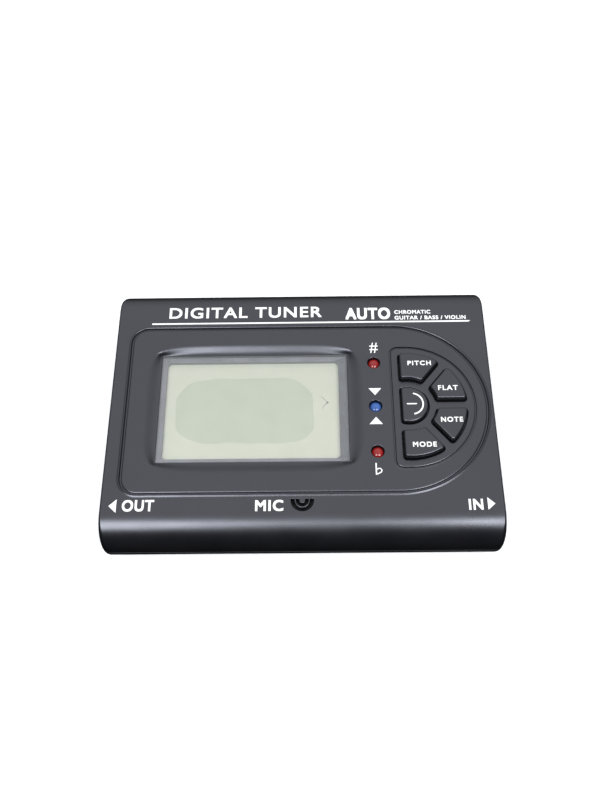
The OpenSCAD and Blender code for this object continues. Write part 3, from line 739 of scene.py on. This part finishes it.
# %% Battery door
GRIP_X, GRIP_Y, RIDGE = 8.0, (27.0, 30.9), 0.78
side, front = DOOR_X - DOOR_GAP, DOOR_Y + DOOR_GAP
door_sheet, _ = case_sheet(-1, rows=(front,), middle=(-side, side))
door_roll = door_sheet[flat_rows.stop:, left_edge:right_edge + 1]
ridge_y = np.linspace(*GRIP_Y, 61)
ridge_x = np.r_[-GRIP_X, -GRIP_X + 0.3, GRIP_X - 0.3, GRIP_X]
from_end = np.minimum(ridge_y - GRIP_Y[0], GRIP_Y[1] - ridge_y)
fade = np.array([0, 1, 1, 0])[:, None] * np.clip(from_end / 0.2, 0, 1)
ridge_z = FOOT + 0.17 * (1 - np.cos(2 * np.pi * (ridge_y - GRIP_Y[0]) / RIDGE)) * fade
grip = np.stack([*np.meshgrid(ridge_x, ridge_y, indexing="ij"), ridge_z], -1)
door_outline = np.array([(-side, front), (side, front), (side, FLAT_Y), (-side, FLAT_Y)])
door = piece("battery_door_skin", [
    (door_roll, grid_faces(*door_roll.shape[:2], closed=False)),
    fill(FOOT, door_outline, around(grip)[:, :2]),
    (grip, grid_faces(*grip.shape[:2], closed=False)),
], base_abs, "door", ["battery_door"])
thicken(base_shell, WALL)
thicken(door, WALL)

# %% [markdown]
# ## Feet, lamps and jacks are turned
#
# Whatever is round is a profile carried round an axis: a moulded rubber foot with a
# soft edge, a lamp of tinted epoxy with a half round top, and a jack's sleeve whose
# mouth is rolled over. The lamps are 3 mm diodes, sunk a little in their holes.

# %% Rubber, epoxy and plated metal
rubber = mottled("moulded rubber", "#161616", "#1D1D1C", 3, 0.35, 0.02, IOR=1.52, Roughness=0.78)


def tinted_epoxy(name, dark, light):
    """Cast epoxy (IOR 1.54): clear, dyed in the mass, glossy from its mould."""
    return mottled(name, dark, light, 1.2, 0.6, 0.004, IOR=1.54, Roughness=0.14,
                   Transmission_Weight=0.1)


red_epoxy = tinted_epoxy("red cast epoxy", "#7E1414", "#951A19")
blue_epoxy = tinted_epoxy("blue cast epoxy", "#2A4A88", "#3961A6")


def plated(name, colour, worn, roughness, size_mm=0.5, base=1.0):
    """Plated or drawn metal: fine drawing marks and slightly uneven shine."""
    return mottled(name, colour, worn, 2, size_mm, 0.003, Metallic=base, Roughness=roughness,
                   uneven=(1, roughness - 0.06, roughness + 0.08))


nickel = plated("nickel plate, barrel finished", "#B9B6AF", "#C9C7C2", 0.22)

# %% Feet, lamps and jack sleeves
foot = [(0, 0), (3.4, 0), (3.75, 0.08), (3.95, 0.32), (4, 0.6), (4, FOOT + FOOT_DEPTH),
        (0, FOOT + FOOT_DEPTH)]
piece("rubber_feet_turned", [lathe((*p, 0), foot) for p in foot_places], rubber, "tuner",
      ["rubber_feet"])
LENS_R, LENS_RISE, RIM_R = 1.58, 0.95, 1.9
for node, epoxy, colour in (("led_sharp", red_epoxy, "red"), ("led_in_tune", blue_epoxy, "blue"),
                            ("led_flat", red_epoxy, "red")):
    bottom, top = box_mm(node)[0][2], box_mm(node)[1][2]
    dome = np.radians(np.linspace(0, 90, 12))
    profile = [(0, bottom), (RIM_R, bottom), (RIM_R, bottom + 0.8), (LENS_R, bottom + 0.85),
               *zip(LENS_R * np.cos(dome), top - LENS_RISE + LENS_RISE * np.sin(dome))]
    profile[-1] = (0, top)
    piece(node + "_lens", [lathe((*centre_of(node), 0), profile)], epoxy, "tuner",
          [node])
for side, node in ((1, "input_jack_sleeve"), (-1, "output_jack_sleeve")):
    low, high = box_mm(node)
    mouth, tail = (high[0], low[0]) if side > 0 else (low[0], high[0])
    lip = fillet(0, 0, 0.35, 1, 6)
    profile = [(3.8, tail), (3.8, mouth - side * 0.1), (3.7, mouth), (3.55, mouth),
               *((3.2 + x, mouth + side * z) for x, z in lip), (3.2, tail), (3.8, tail)]
    piece(node + "_turned", [lathe((0, JACK_Y, MID), profile, 64, "x")], nickel, "tuner",
          [node])

# %% [markdown]
# ## Display
#
# A reflective display looks pale greenish grey, because light crosses the polarizer
# twice and comes back from a matt film behind the glass. In the middle of this one
# the liquid crystal has a faint darker field with a soft outline, where the digits
# and the needle would show, and there is a tiny ink fleck at its right. A clear
# acrylic window lies over it, taped down with a grey foam frame.

# %% Display materials
crystal, tree, shader, place = new_material("polarizer over liquid crystal", IOR=1.5,
                                            Roughness=0.34)
FIELD_MID, FIELD_HALF, FIELD_POWER = (-15.6, -0.1), (19.1, 10.1), 3.6
WOBBLE = 0.0035                   # how far noise pushes the field's outline about
DRIFT = 0.5 * WOBBLE / MM         # the noise is 0.5 on average, which shifts it in mm
shifted = mix(tree, WOBBLE, place, noise(tree, place, 12, 1.0)["Color"])
parts = add(tree, "ShaderNodeSeparateXYZ", {"Vector": shifted}).outputs
terms = []
for axis, at, half in zip("XY", FIELD_MID, FIELD_HALF):
    centred = maths(tree, "SUBTRACT", parts[axis], (at + DRIFT) * MM)
    share = maths(tree, "ABSOLUTE", maths(tree, "DIVIDE", centred, half * MM))
    terms.append(maths(tree, "POWER", share, FIELD_POWER))
total = maths(tree, "ADD", *terms)
edge = add(tree, "ShaderNodeMapRange", {"Value": total, "From Min": 0.95, "From Max": 1.03})
mottle = noise(tree, place, 2.5, 5.0)["Fac"]
tone = mix(tree, edge.outputs[0], mix(tree, mottle, linear("#9CA28C"), linear("#A4AB96")),
           mix(tree, mottle, linear("#ADAF9D"), linear("#B5B5A4")))
tree.links.new(tone, shader.inputs["Base Color"])

acrylic = mottled("clear cast acrylic", "#D9DEDC", "#E6EAE8", 7, IOR=1.49, Roughness=0.05,
                  Alpha=0.10)
foam, tree, shader, place = new_material("grey foam tape", Roughness=0.9)
grain(tree, shader, place, 0.25, 0.03)
face_tone = mix(tree, noise(tree, place, 5, 4.0)["Fac"], linear("#5F5F64"), linear("#84848A"))
# Below the tape's face its cut edge is painted near black (#1E1E20): painted shade where the
# window's opening falls into shadow over the display.
depth = add(tree, "ShaderNodeSeparateXYZ", {"Vector": place}).outputs["Z"]
edge_shade = add(tree, "ShaderNodeMapRange", {"Value": depth, "From Min": (LEDGE - 0.25) * MM,
                                       "From Max": (LEDGE - 0.05) * MM})
foam_tone_and_edge_shade = mix(tree, edge_shade.outputs[0], linear("#1E1E20"), face_tone)
tree.links.new(foam_tone_and_edge_shade, shader.inputs["Base Color"])
ink_fleck = mottled("black ink", "#1A1B1A", "#2C2D2B", 0.4, Roughness=0.5)

# %% [markdown]
# ## Printing
#
# The words are pad printed in white, a film a few hundredths of a millimetre thick.
# Each word becomes a mesh and is fitted to the width and height that it has on the
# tuner. They are plain functional words in a plain typeface.

# %% Printing helpers
ink = mottled("white pad-printing ink", "#E9E9E6", "#F4F4F2", 1.5, 0.12, 0.003, IOR=1.5,
              Roughness=0.45)
FILM = 0.035                      # thickness of the print


def words(text, x0, x1, y0, y1, z, bold, spacing=1.12):
    """A word as a thin mesh, stretched to fill the box from (x0, y0) to (x1, y1).
    It is printed four times, moved by bold to the right and up, which fattens it."""
    curve = bpy.data.curves.new(text, "FONT")
    curve.body, curve.space_character = text, spacing
    curve.extrude, curve.resolution_u = 0.01, 5
    holder = bpy.data.objects.new(text, curve)
    bpy.context.collection.objects.link(holder)
    bpy.context.view_layer.update()
    flat = holder.evaluated_get(bpy.context.evaluated_depsgraph_get())
    mesh = bpy.data.meshes.new_from_object(flat)
    mesh.calc_loop_triangles()
    points = np.empty(len(mesh.vertices) * 3)
    mesh.vertices.foreach_get("co", points)
    faces = np.empty(len(mesh.loop_triangles) * 3, int)
    mesh.loop_triangles.foreach_get("vertices", faces)
    points, faces = points.reshape(-1, 3), faces.reshape(-1, 3)
    for made in (holder, curve, mesh):
        bpy.data.batch_remove([made])
    low, high = points.min(0), points.max(0)
    size = (x1 - x0 - bold, y1 - y0 - bold, FILM + 0.01)
    points = (points - low) / (high - low) * size + (x0, y0, z - 0.01)
    moves = np.array([(0, 0, 0), (bold, 0, 0.002), (0, bold, 0.004), (bold, bold, 0.006)])
    return [(points + move, faces) for move in moves]


def prism(points, low, high):
    """An upright solid with the given outline between two heights."""
    path = np.asarray(points, float)
    return [carry(path, [(0, high), (0, low)]), fill(high, path), fill(low, path)]


def plate(points, z):
    """A thin printed shape with the given outline."""
    return prism(points, z - 0.01, z + FILM)


def stroke(path, width):
    """Outline of a line of even width drawn along an open path."""
    path = np.asarray(path, float)
    step = np.gradient(path, axis=0)
    side = np.stack([-step[:, 1], step[:, 0]], 1)
    side *= width / 2 / np.linalg.norm(side, axis=1, keepdims=True)
    return np.concatenate([path + side, (path - side)[::-1]])[::-1]


# %% Printing on the case
SIGNS = (("DIGITAL TUNER", -38.0, 6.0, 28.2, 31.9, 0.2), ("AUTO", 12.8, 25.7, 27.3, 31.3, 0.35),
         ("CHROMATIC", 26.9, 37.3, 29.05, 30.35, 0.12),
         ("GUITAR / BASS / VIOLIN", 26.9, 47.3, 27.1, 28.4, 0.12),
         ("OUT", -46.6, -38.3, -30.8, -27.6, 0.22), ("MIC", -12.1, -4.8, -31.0, -27.9, 0.22),
         ("IN", 43.0, 46.7, -31.1, -28.1, 0.22), ("#", 19.25, 21.6, 16.05, 19.4, 0.03))
SHAPES = {
    "arrow out": [(-50.1, -29.25), (-48.1, -31.1), (-48.1, -27.4)],
    "arrow in": [(47.9, -31.1), (49.85, -29.4), (47.9, -27.7)],
    "arrow down": [(18.5, 4.75), (20.25, 2.6), (22.0, 4.75)],
    "arrow up": [(18.4, -6.28), (22.0, -6.28), (20.2, -4.12)],
    "long rule": [(-42.8, 26.2), (48.0, 26.2), (48.5, 26.68), (-42.8, 26.68)],
    "stem of the flat sign": [(19.45, -21.1), (19.8, -21.1), (19.8, -17.75), (19.45, -17.75)],
    "bowl of the flat sign": stroke(np.concatenate([
        [(19.82, -19.55)], arc(20.45, -19.9, 0.62, 110, -60, 12), [(19.82, -20.95)]]), 0.3)}
printing = [patch for text, *place, bold in SIGNS for patch in words(text, *place, TOP, bold)]
printing += [patch for shape in SHAPES.values() for patch in plate(shape, TOP)]
piece("case_printing", printing, ink, "tuner", weld=0.0005)
fleck = [*plate(ring(7.2, 2.2, 0.28, 12), LCD_TOP),
         *plate(stroke([(7.0, 2.0), (6.2, 1.2), (5.8, 0.2)], 0.09), LCD_TOP),
         *plate(stroke([(7.1, 2.4), (6.3, 3.3), (5.3, 4.2)], 0.07), LCD_TOP)]
piece("display_fleck", fleck, ink_fleck, "tuner", weld=0.0005)

# %% Printing on the keys
KEY_WORDS = {"pitch": ("PITCH", 29.5, 36.0, 11.0, 12.45), "flat": ("FLAT", 37.4, 42.8, 3.1, 4.6),
             "note": ("NOTE", 37.45, 43.4, -6.6, -5.1), "mode": ("MODE", 29.5, 35.8, -13.9, -12.4)}
for name, place in KEY_WORDS.items():
    patches = words(*place, box_mm("key_" + name)[1][2], 0.12, 1.22)
    piece(name + "_key_printing", patches, ink, name + "_key", weld=0.0005)
key_top = box_mm("key_power")[1][2]
bow = arc(0, 0, 1, 82, -82, 24) * (3.0, 3.15) + (30.1, -0.65)
bar = [(28.7, -0.7), (30.0, -0.7), (31.4, -0.7)]
patches = [*plate(stroke(bow, 0.42), key_top), *plate(stroke(bar, 0.36), key_top)]
piece("power_key_printing", patches, ink, "power_key", weld=0.0005)

# %% [markdown]
# ## Battery bay
#
# Two small cells lie in line behind the circuit board, where the sliding door opens.
# A cell is a steel can in a printed film sleeve, which shrinks round its shoulders.
# A cone of spring wire pushes the pair against a flat plate at the other end. The
# coil is a circle carried along a helix, whose radius shrinks from turn to turn.

# %% Slabs, tubes and smooth routes
def slab(low, high):
    """A box from its lowest to its highest corner."""
    corners = np.stack(np.meshgrid(*zip(low, high), indexing="ij"), -1).reshape(8, 3)
    return corners, [(0, 1, 3, 2), (4, 6, 7, 5), (0, 4, 5, 1), (2, 3, 7, 6), (0, 2, 6, 4),
                     (1, 5, 7, 3)]


def tube(path, radius, sides=12):
    """A circle carried along a path, square to it, with its start turned to the x axis."""
    tangent = np.gradient(path, axis=0)
    tangent /= np.linalg.norm(tangent, axis=1, keepdims=True)
    across = np.cross(tangent, (1, 0, 0))
    across /= np.linalg.norm(across, axis=1, keepdims=True)
    third = np.cross(across, tangent)
    a = np.linspace(0, 2 * np.pi, sides, endpoint=False)[:, None]
    rings = path[:, None] + radius * (np.cos(a) * across[:, None] + np.sin(a) * third[:, None])
    cap = [list(range(sides))]
    return [(rings, grid_faces(len(path), sides)), (rings[0], cap), (rings[-1], cap)]


def smooth(points, steps=8):
    """Catmull-Rom curve: a cubic between neighbours, with slopes set by the next ones."""
    p = np.asarray(points, float)
    p = np.concatenate([2 * p[:1] - p[1:2], p, 2 * p[-1:] - p[-2:-1]])
    t = np.linspace(0, 1, steps, endpoint=False)[None, :, None]
    a, b, c, d = (p[i:len(p) - 3 + i, None] for i in range(4))
    curve = (2 * b + (c - a) * t + (2 * a - 5 * b + 4 * c - d) * t ** 2
             + (3 * b - a - 3 * c + d) * t ** 3) / 2
    return np.concatenate([curve.reshape(-1, 3), p[-2:-1]])


# %% Cell, wire and spring materials
film, tree, shader, place = new_material("printed shrink film on a dry cell", IOR=1.55,
                                         Roughness=0.28)
cell_low, cell_high = box_mm("battery_right")
CELL_LEN = cell_high[0] - cell_low[0]
along = add(tree, "ShaderNodeSeparateXYZ", {"Vector": place}).outputs["X"]
from_end = maths(tree, "SUBTRACT", along, cell_low[0] * MM)
share = maths(tree, "DIVIDE", from_end, CELL_LEN * MM)
bands = ((0, "#1F3F5C"), (0.06, "#2B5577"), (0.66, "#D9DCDD"), (0.675, "#9EA6AB"))
sleeve_tone = ramp(tree, maths(tree, "FLOORED_MODULO", share, 1.0),
                   *((at, linear(colour)) for at, colour in bands), interpolation="CONSTANT")
tree.links.new(sleeve_tone, shader.inputs["Base Color"])
vary(tree, shader, place, "Roughness", 4, 0.22, 0.34)
grain(tree, shader, place, 1.5, 0.01)

spring_steel = plated("nickel-plated spring steel", "#A9A8A4", "#BDBCB8", 0.26, 0.3)
red_pvc = mottled("red PVC insulation", "#9A1512", "#AE1D18", 2, 0.4, 0.01, IOR=1.53,
                  Roughness=0.38)
black_pvc = mottled("black PVC insulation", "#141415", "#1C1C1D", 2, 0.4, 0.01, IOR=1.53,
                    Roughness=0.38)
silicone = mottled("translucent silicone rubber", "#C6C8C3", "#D4D6D1", 3, 0.3, 0.006, IOR=1.41,
                   Roughness=0.42, Subsurface_Weight=0.25, Subsurface_Scale=0.001)

# %% Cells, spring, wires and bay walls
for node in ("battery_left", "battery_right"):
    low, high = box_mm(node)
    mid, nub = (low + high)[1:] / 2, high[0] - 1
    turn = np.radians(np.linspace(0, 90, 7))
    shoulder = np.stack([4.5 + 0.6 * np.sin(turn), 0.6 * (1 - np.cos(turn))], 1)
    sleeve = np.concatenate([
        [(4.1, low[0] + 0.25), (4.1, low[0] + 0.05)], shoulder + (0, low[0] + 0.05),
        (shoulder * (1, -1) + (0, nub - 0.02))[::-1],
        [(4.1, nub - 0.02), (4.1, nub - 0.25), (4.1, low[0] + 0.25)]])
    piece(node + "_sleeve", [lathe((0, *mid), sleeve, 64, "x")], film, "tuner",
          [node])
    ends = [(0, low[0] + 0.02), (2.6, low[0]), (2.9, low[0] + 0.2), (4.4, low[0] + 0.15),
            (4.4, nub - 0.2), (2.6, nub - 0.2), (2.4, nub - 0.05), (1.95, nub), (1.9, nub + 0.15),
            (1.9, high[0] - 0.25), (1.75, high[0] - 0.05), (1.5, high[0]), (0, high[0])]
    piece(node + "_can", [lathe((0, *mid), ends, 48, "x")], nickel, "tuner")

cell_y = centre_of("battery_right")[1]


def contact(node, thickness):
    """A flat spring contact behind the cells, and its ear towards the board."""
    low, _ = box_mm(node)
    x0, x1 = low[0], low[0] + thickness
    return [slab((x0, cell_y - 4, MID - 4.2), (x1, cell_y + 4, MID + 4.4)),
            slab((x0, low[1], MID + 1.5), (x1, cell_y - 3.9, MID + 3.5))]


TAB = 0.4                         # thickness of a contact
start = box_mm("battery_spring")[0][0] + 0.65
TURNS, WIRE_R = 3.5, 0.25
t = np.linspace(0, 1, 141)
turning, coil_r = 2 * np.pi * TURNS * t, 3.4 - 1.6 * t
reach = cell_low[0] - CELL_LEN - start - WIRE_R
helix = np.stack([start + reach * t, cell_y + coil_r * np.cos(turning),
                  MID + coil_r * np.sin(turning)], 1)
piece("battery_spring_coil", [*tube(helix, WIRE_R), *contact("battery_spring", TAB)],
      spring_steel, "tuner", ["battery_spring"])
low, high = box_mm("battery_plate")
piece("battery_contact_plate", contact("battery_plate", high[0] - low[0]), spring_steel, "tuner",
      ["battery_plate"])
board_top = box_mm("main_board")[1][2]
for side, colour, pvc in ((1, "red", red_pvc), (-1, "black", black_pvc)):
    x, y = high[0] - 0.2, low[1]
    route = smooth([
        (side * x, y, MID + 2.5), (side * x, y - 1.6, MID + 2.7),
        (side * (x - 1.4), y - 2.9, MID + 1.8), (side * (x - 1.6), y - 3.4, board_top + 0.3)])
    piece(f"battery_wire_{colour}_lead", tube(route, 0.55), pvc, "tuner",
          ["battery_wire_" + colour])

CHEEK_X, RIB_Y, RIB = high[0], 24.0, 1.2
half = [(CHEEK_X + RIB, RIB_Y), (CHEEK_X + RIB, cell_y + 5.4), (CHEEK_X, cell_y + 5.4),
        (CHEEK_X, RIB_Y + RIB)]
walls = prism(half + [(-x, y) for x, y in half[::-1]], FOOT + WALL - 0.2, MID)
bay = piece("battery_bay_walls", walls, base_abs, "tuner")
low_z, high_z = FOOT + WALL + 0.1, FOOT + WALL + 0.9
tongues = piece("battery_door_tongues", [slab((x - 4.5, 22.7, low_z), (x + 4.5, 28, high_z))
                                         for x in (-30, 0, 30)], base_abs, "door")
for made in (bay, tongues):
    made.modifiers.new("eased edges", "BEVEL").width = 0.15 * MM

# %% [markdown]
# ## Silicone domes
#
# Under each key is a dome of silicone rubber with a carbon pill inside its roof. Its
# thin cone buckles when the key goes down and springs back after. Each dome is given
# a mesh of its own.

# %% Domes
for name in KEY_NAMES:
    low, high = box_mm("dome_" + name)
    (x, y), base_z, top_z = (low + high)[:2] / 2, low[2], high[2]
    profile = [(0, top_z), (1.9, top_z), (2.15, top_z - 0.06), (2.3, top_z - 0.25),
               (3.05, base_z + 0.85), (3.2, base_z + 0.62), (3.45, base_z + 0.5),
               (3.5, base_z + 0.4), (3.5, base_z), (2.9, base_z), (2.6, base_z + 0.5),
               (1.75, top_z - 0.8), (0, top_z - 0.8)]
    dome_piece = piece(name + "_dome", [lathe((x, y, 0), profile)], silicone, "tuner",
                       ["dome_" + name])
    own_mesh(dome_piece)

# %% [markdown]
# ## Finishes of the parts inside
#
# The mechanical parts that keep their own shape still need a finish each. Their
# record names a finish for every part, so one loop hands the materials out: green
# solder mask, black moulded epoxy, tinned pins, felt, foam and glass.

# %% Circuit materials
mask, tree, shader, place = new_material("solder mask on glass epoxy", IOR=1.55, Roughness=0.30)
tracks = add(tree, "ShaderNodeTexBrick", {"Vector": place, "Scale": 1.0, "Brick Width": 6 * MM,
                                          "Row Height": 1.3 * MM, "Mortar Size": 0.12 * MM,
                                          "Color1": linear("#12452A"), "Color2": linear("#134A2D"),
                                          "Mortar": linear("#2E7446")})
tree.links.new(tracks.outputs["Color"], shader.inputs["Base Color"])
raised = add(tree, "ShaderNodeBump", {"Height": tracks.outputs["Fac"], "Distance": 0.035 * MM})
tree.links.new(raised.outputs["Normal"], shader.inputs["Normal"])

zebra, tree, shader, place = new_material("carbon and silicone layers", Roughness=0.6)
layers = add(tree, "ShaderNodeTexWave", {"Vector": place, "Scale": 0.3 / (0.5 * MM),
                                         "Distortion": 0.0}).outputs["Fac"]
stripes = ramp(tree, layers, (0.45, linear("#1A1A1B")), (0.55, linear("#B9BCC0")))
tree.links.new(stripes, shader.inputs["Base Color"])

felt = mottled("black wool felt", "#0D0D0E", "#222224", 0.5, 0.15, 0.05, 6.0, Roughness=0.95,
               Sheen_Weight=0.5, Sheen_Roughness=0.4)
glass = mottled("float glass, display cell", "#B9C9C1", "#C7D4CC", 8, IOR=1.52, Roughness=0.06,
                Alpha=0.35)
reflector = plated("matt aluminised film", "#B4B7B0", "#C2C5BE", 0.5, 0.2, base=0.6)
tin = plated("tinned wire", "#B2B1AE", "#C6C5C3", 0.3, 0.3)
can = plated("drawn steel can", "#A5A6A6", "#B7B8B8", 0.25, 0.4)
bronze = plated("phosphor bronze leaf", "#A8874F", "#BA9A62", 0.3, 0.3)
screw_steel = plated("black zinc on steel", "#3A3A3D", "#4B4B4F", 0.34, 0.3)
chip_epoxy = mottled("moulded epoxy", "#17181A", "#202123", 1.5, 0.2, 0.01, IOR=1.55,
                     Roughness=0.55)
carbon = mottled("carbon-filled rubber", "#0E0E0F", "#161617", 1, 0.2, 0.01, Roughness=0.7)

# %% One finish for every part that is left
FINISH = {
    "top_plastic": case_abs, "bottom_plastic": base_abs, "window_plastic": acrylic, "tape": foam,
    "lcd_film": crystal, "lcd_glass": glass, "white_plastic": white_abs, "contact_rubber": zebra,
    "circuit_board": mask, "epoxy": chip_epoxy, "can_metal": can, "lamp_red": red_epoxy,
    "lamp_blue": blue_epoxy, "tinned_metal": tin, "soft_rubber": rubber, "felt": felt,
    "jack_plastic": jack_abs, "nickel": nickel, "contact_metal": bronze, "silicone": silicone,
    "carbon": carbon, "key_plastic": key_abs, "cell_jacket": film, "wire_red": red_pvc,
    "wire_black": black_pvc, "screw_steel": screw_steel}
for part in frame["record"]["subparts"]:
    finish = reflector if part["node"] == "lcd_reflector" else FINISH[part["material_slot"]]
    for holder in frame["nodes"][part["node"]].material_slots:
        holder.material = finish

# %% [markdown]
# ## Studio and camera
#
# Two soft boxes hang in front of the tuner, above the eye's left and right. The
# round front edge mirrors them as one long highlight, brighter near its two ends,
# and the faces that tip towards the eye catch their edges. The flat top mirrors the
# pale wall behind instead. Low in front the room is dark, so the underside of the
# round edge falls to black.

# %% Camera
ELEVATION, TURN, ROLL_ANGLE = np.radians([62.08, 1.267, 1.678])
FOCAL = 1.125                     # in picture heights
AIM = np.array([0.387, -1.696, 245.81])   # the top's middle, right, up and ahead of the lens


def turn_z(angle):
    c, s = np.cos(angle), np.sin(angle)
    return np.array([(c, -s, 0), (s, c, 0), (0, 0, 1)])


axes = np.array([(1, 0, 0), (0, np.sin(ELEVATION), np.cos(ELEVATION)),
                 (0, np.cos(ELEVATION), -np.sin(ELEVATION))])
axes = turn_z(ROLL_ANGLE) @ axes @ turn_z(TURN).T
eye = -axes.T @ AIM + (0, -0.62, TOP)
lens = bpy.data.cameras.new("camera")
lens.sensor_width, lens.lens, lens.sensor_fit = 36, 36 * FOCAL, "AUTO"
lens.clip_start = 0.01
camera = bpy.data.objects.new("camera", lens)
bpy.context.collection.objects.link(camera)
facing = np.stack([axes[0], axes[1], -axes[2], eye * MM], 1)
camera.matrix_world = Matrix([*facing.tolist(), [0, 0, 0, 1]])
bpy.context.scene.camera = camera
print("eye at", eye.round(1), "mm")


# %% Light and floor
def soft_light(name, place, target, size, watts, tint=(1, 1, 1)):
    """A soft light at a place, in metres, of a width and length, facing its target."""
    data = bpy.data.lights.new(name, "AREA")
    data.shape, data.size, data.size_y = "RECTANGLE", *size
    data.energy, data.color = watts, tint
    light = bpy.data.objects.new(name, data)
    bpy.context.collection.objects.link(light)
    light.location = place
    light.rotation_euler = (Vector(target) - Vector(place)).to_track_quat("-Z", "Y").to_euler()


LEFT_BOX, RIGHT_BOX, BOX = (-0.20, -0.27, 0.54), (0.26, -0.26, 0.54), (0.26, 0.30)
soft_light("left soft box", LEFT_BOX, (0, 0, 0), BOX, 2.6, (0.95, 0.97, 1.0))
soft_light("right soft box", RIGHT_BOX, (0, 0, 0), BOX, 2.6, (0.95, 0.97, 1.0))

world = bpy.data.worlds.new("studio")
world.use_nodes = True
room = world.node_tree
toward = add(room, "ShaderNodeTexCoord").outputs["Generated"]
height = add(room, "ShaderNodeVectorMath", {0: toward, 1: (0.0, 0.5, 0.866)},
             operation="DOT_PRODUCT")
LEVELS = ((0, 0.0), (0.3, 0.05), (0.65, 0.6), (1, 1.15))
sky = ramp(room, height.outputs["Value"],
           *((at, (level * 0.96, level * 0.98, level, 1)) for at, level in LEVELS))
seen = add(room, "ShaderNodeLightPath").outputs["Is Camera Ray"]
room.links.new(mix(room, seen, sky, linear("#F2F2F2")), room.nodes["Background"].inputs["Color"])
bpy.context.scene.world = world
bpy.context.scene.view_settings.view_transform = "Standard"

paper = mottled("matt white paper", "#F6F6F6", "#FBFBFB", 60, Roughness=0.9,
                Emission_Strength=0.15, Emission_Color=(1, 1, 1, 1))
floor_mesh = bpy.data.meshes.new("floor")
far = 1.6                         # half the width of the floor, in metres
floor_mesh.from_pydata([(-far, -far, 0), (far, -far, 0), (far, far, 0), (-far, far, 0)], [],
                       [(0, 1, 2, 3)])
floor_mesh.materials.append(paper)
floor = bpy.data.objects.new("floor", floor_mesh)
bpy.context.collection.objects.link(floor)
floor.visible_diffuse = floor.visible_glossy = False
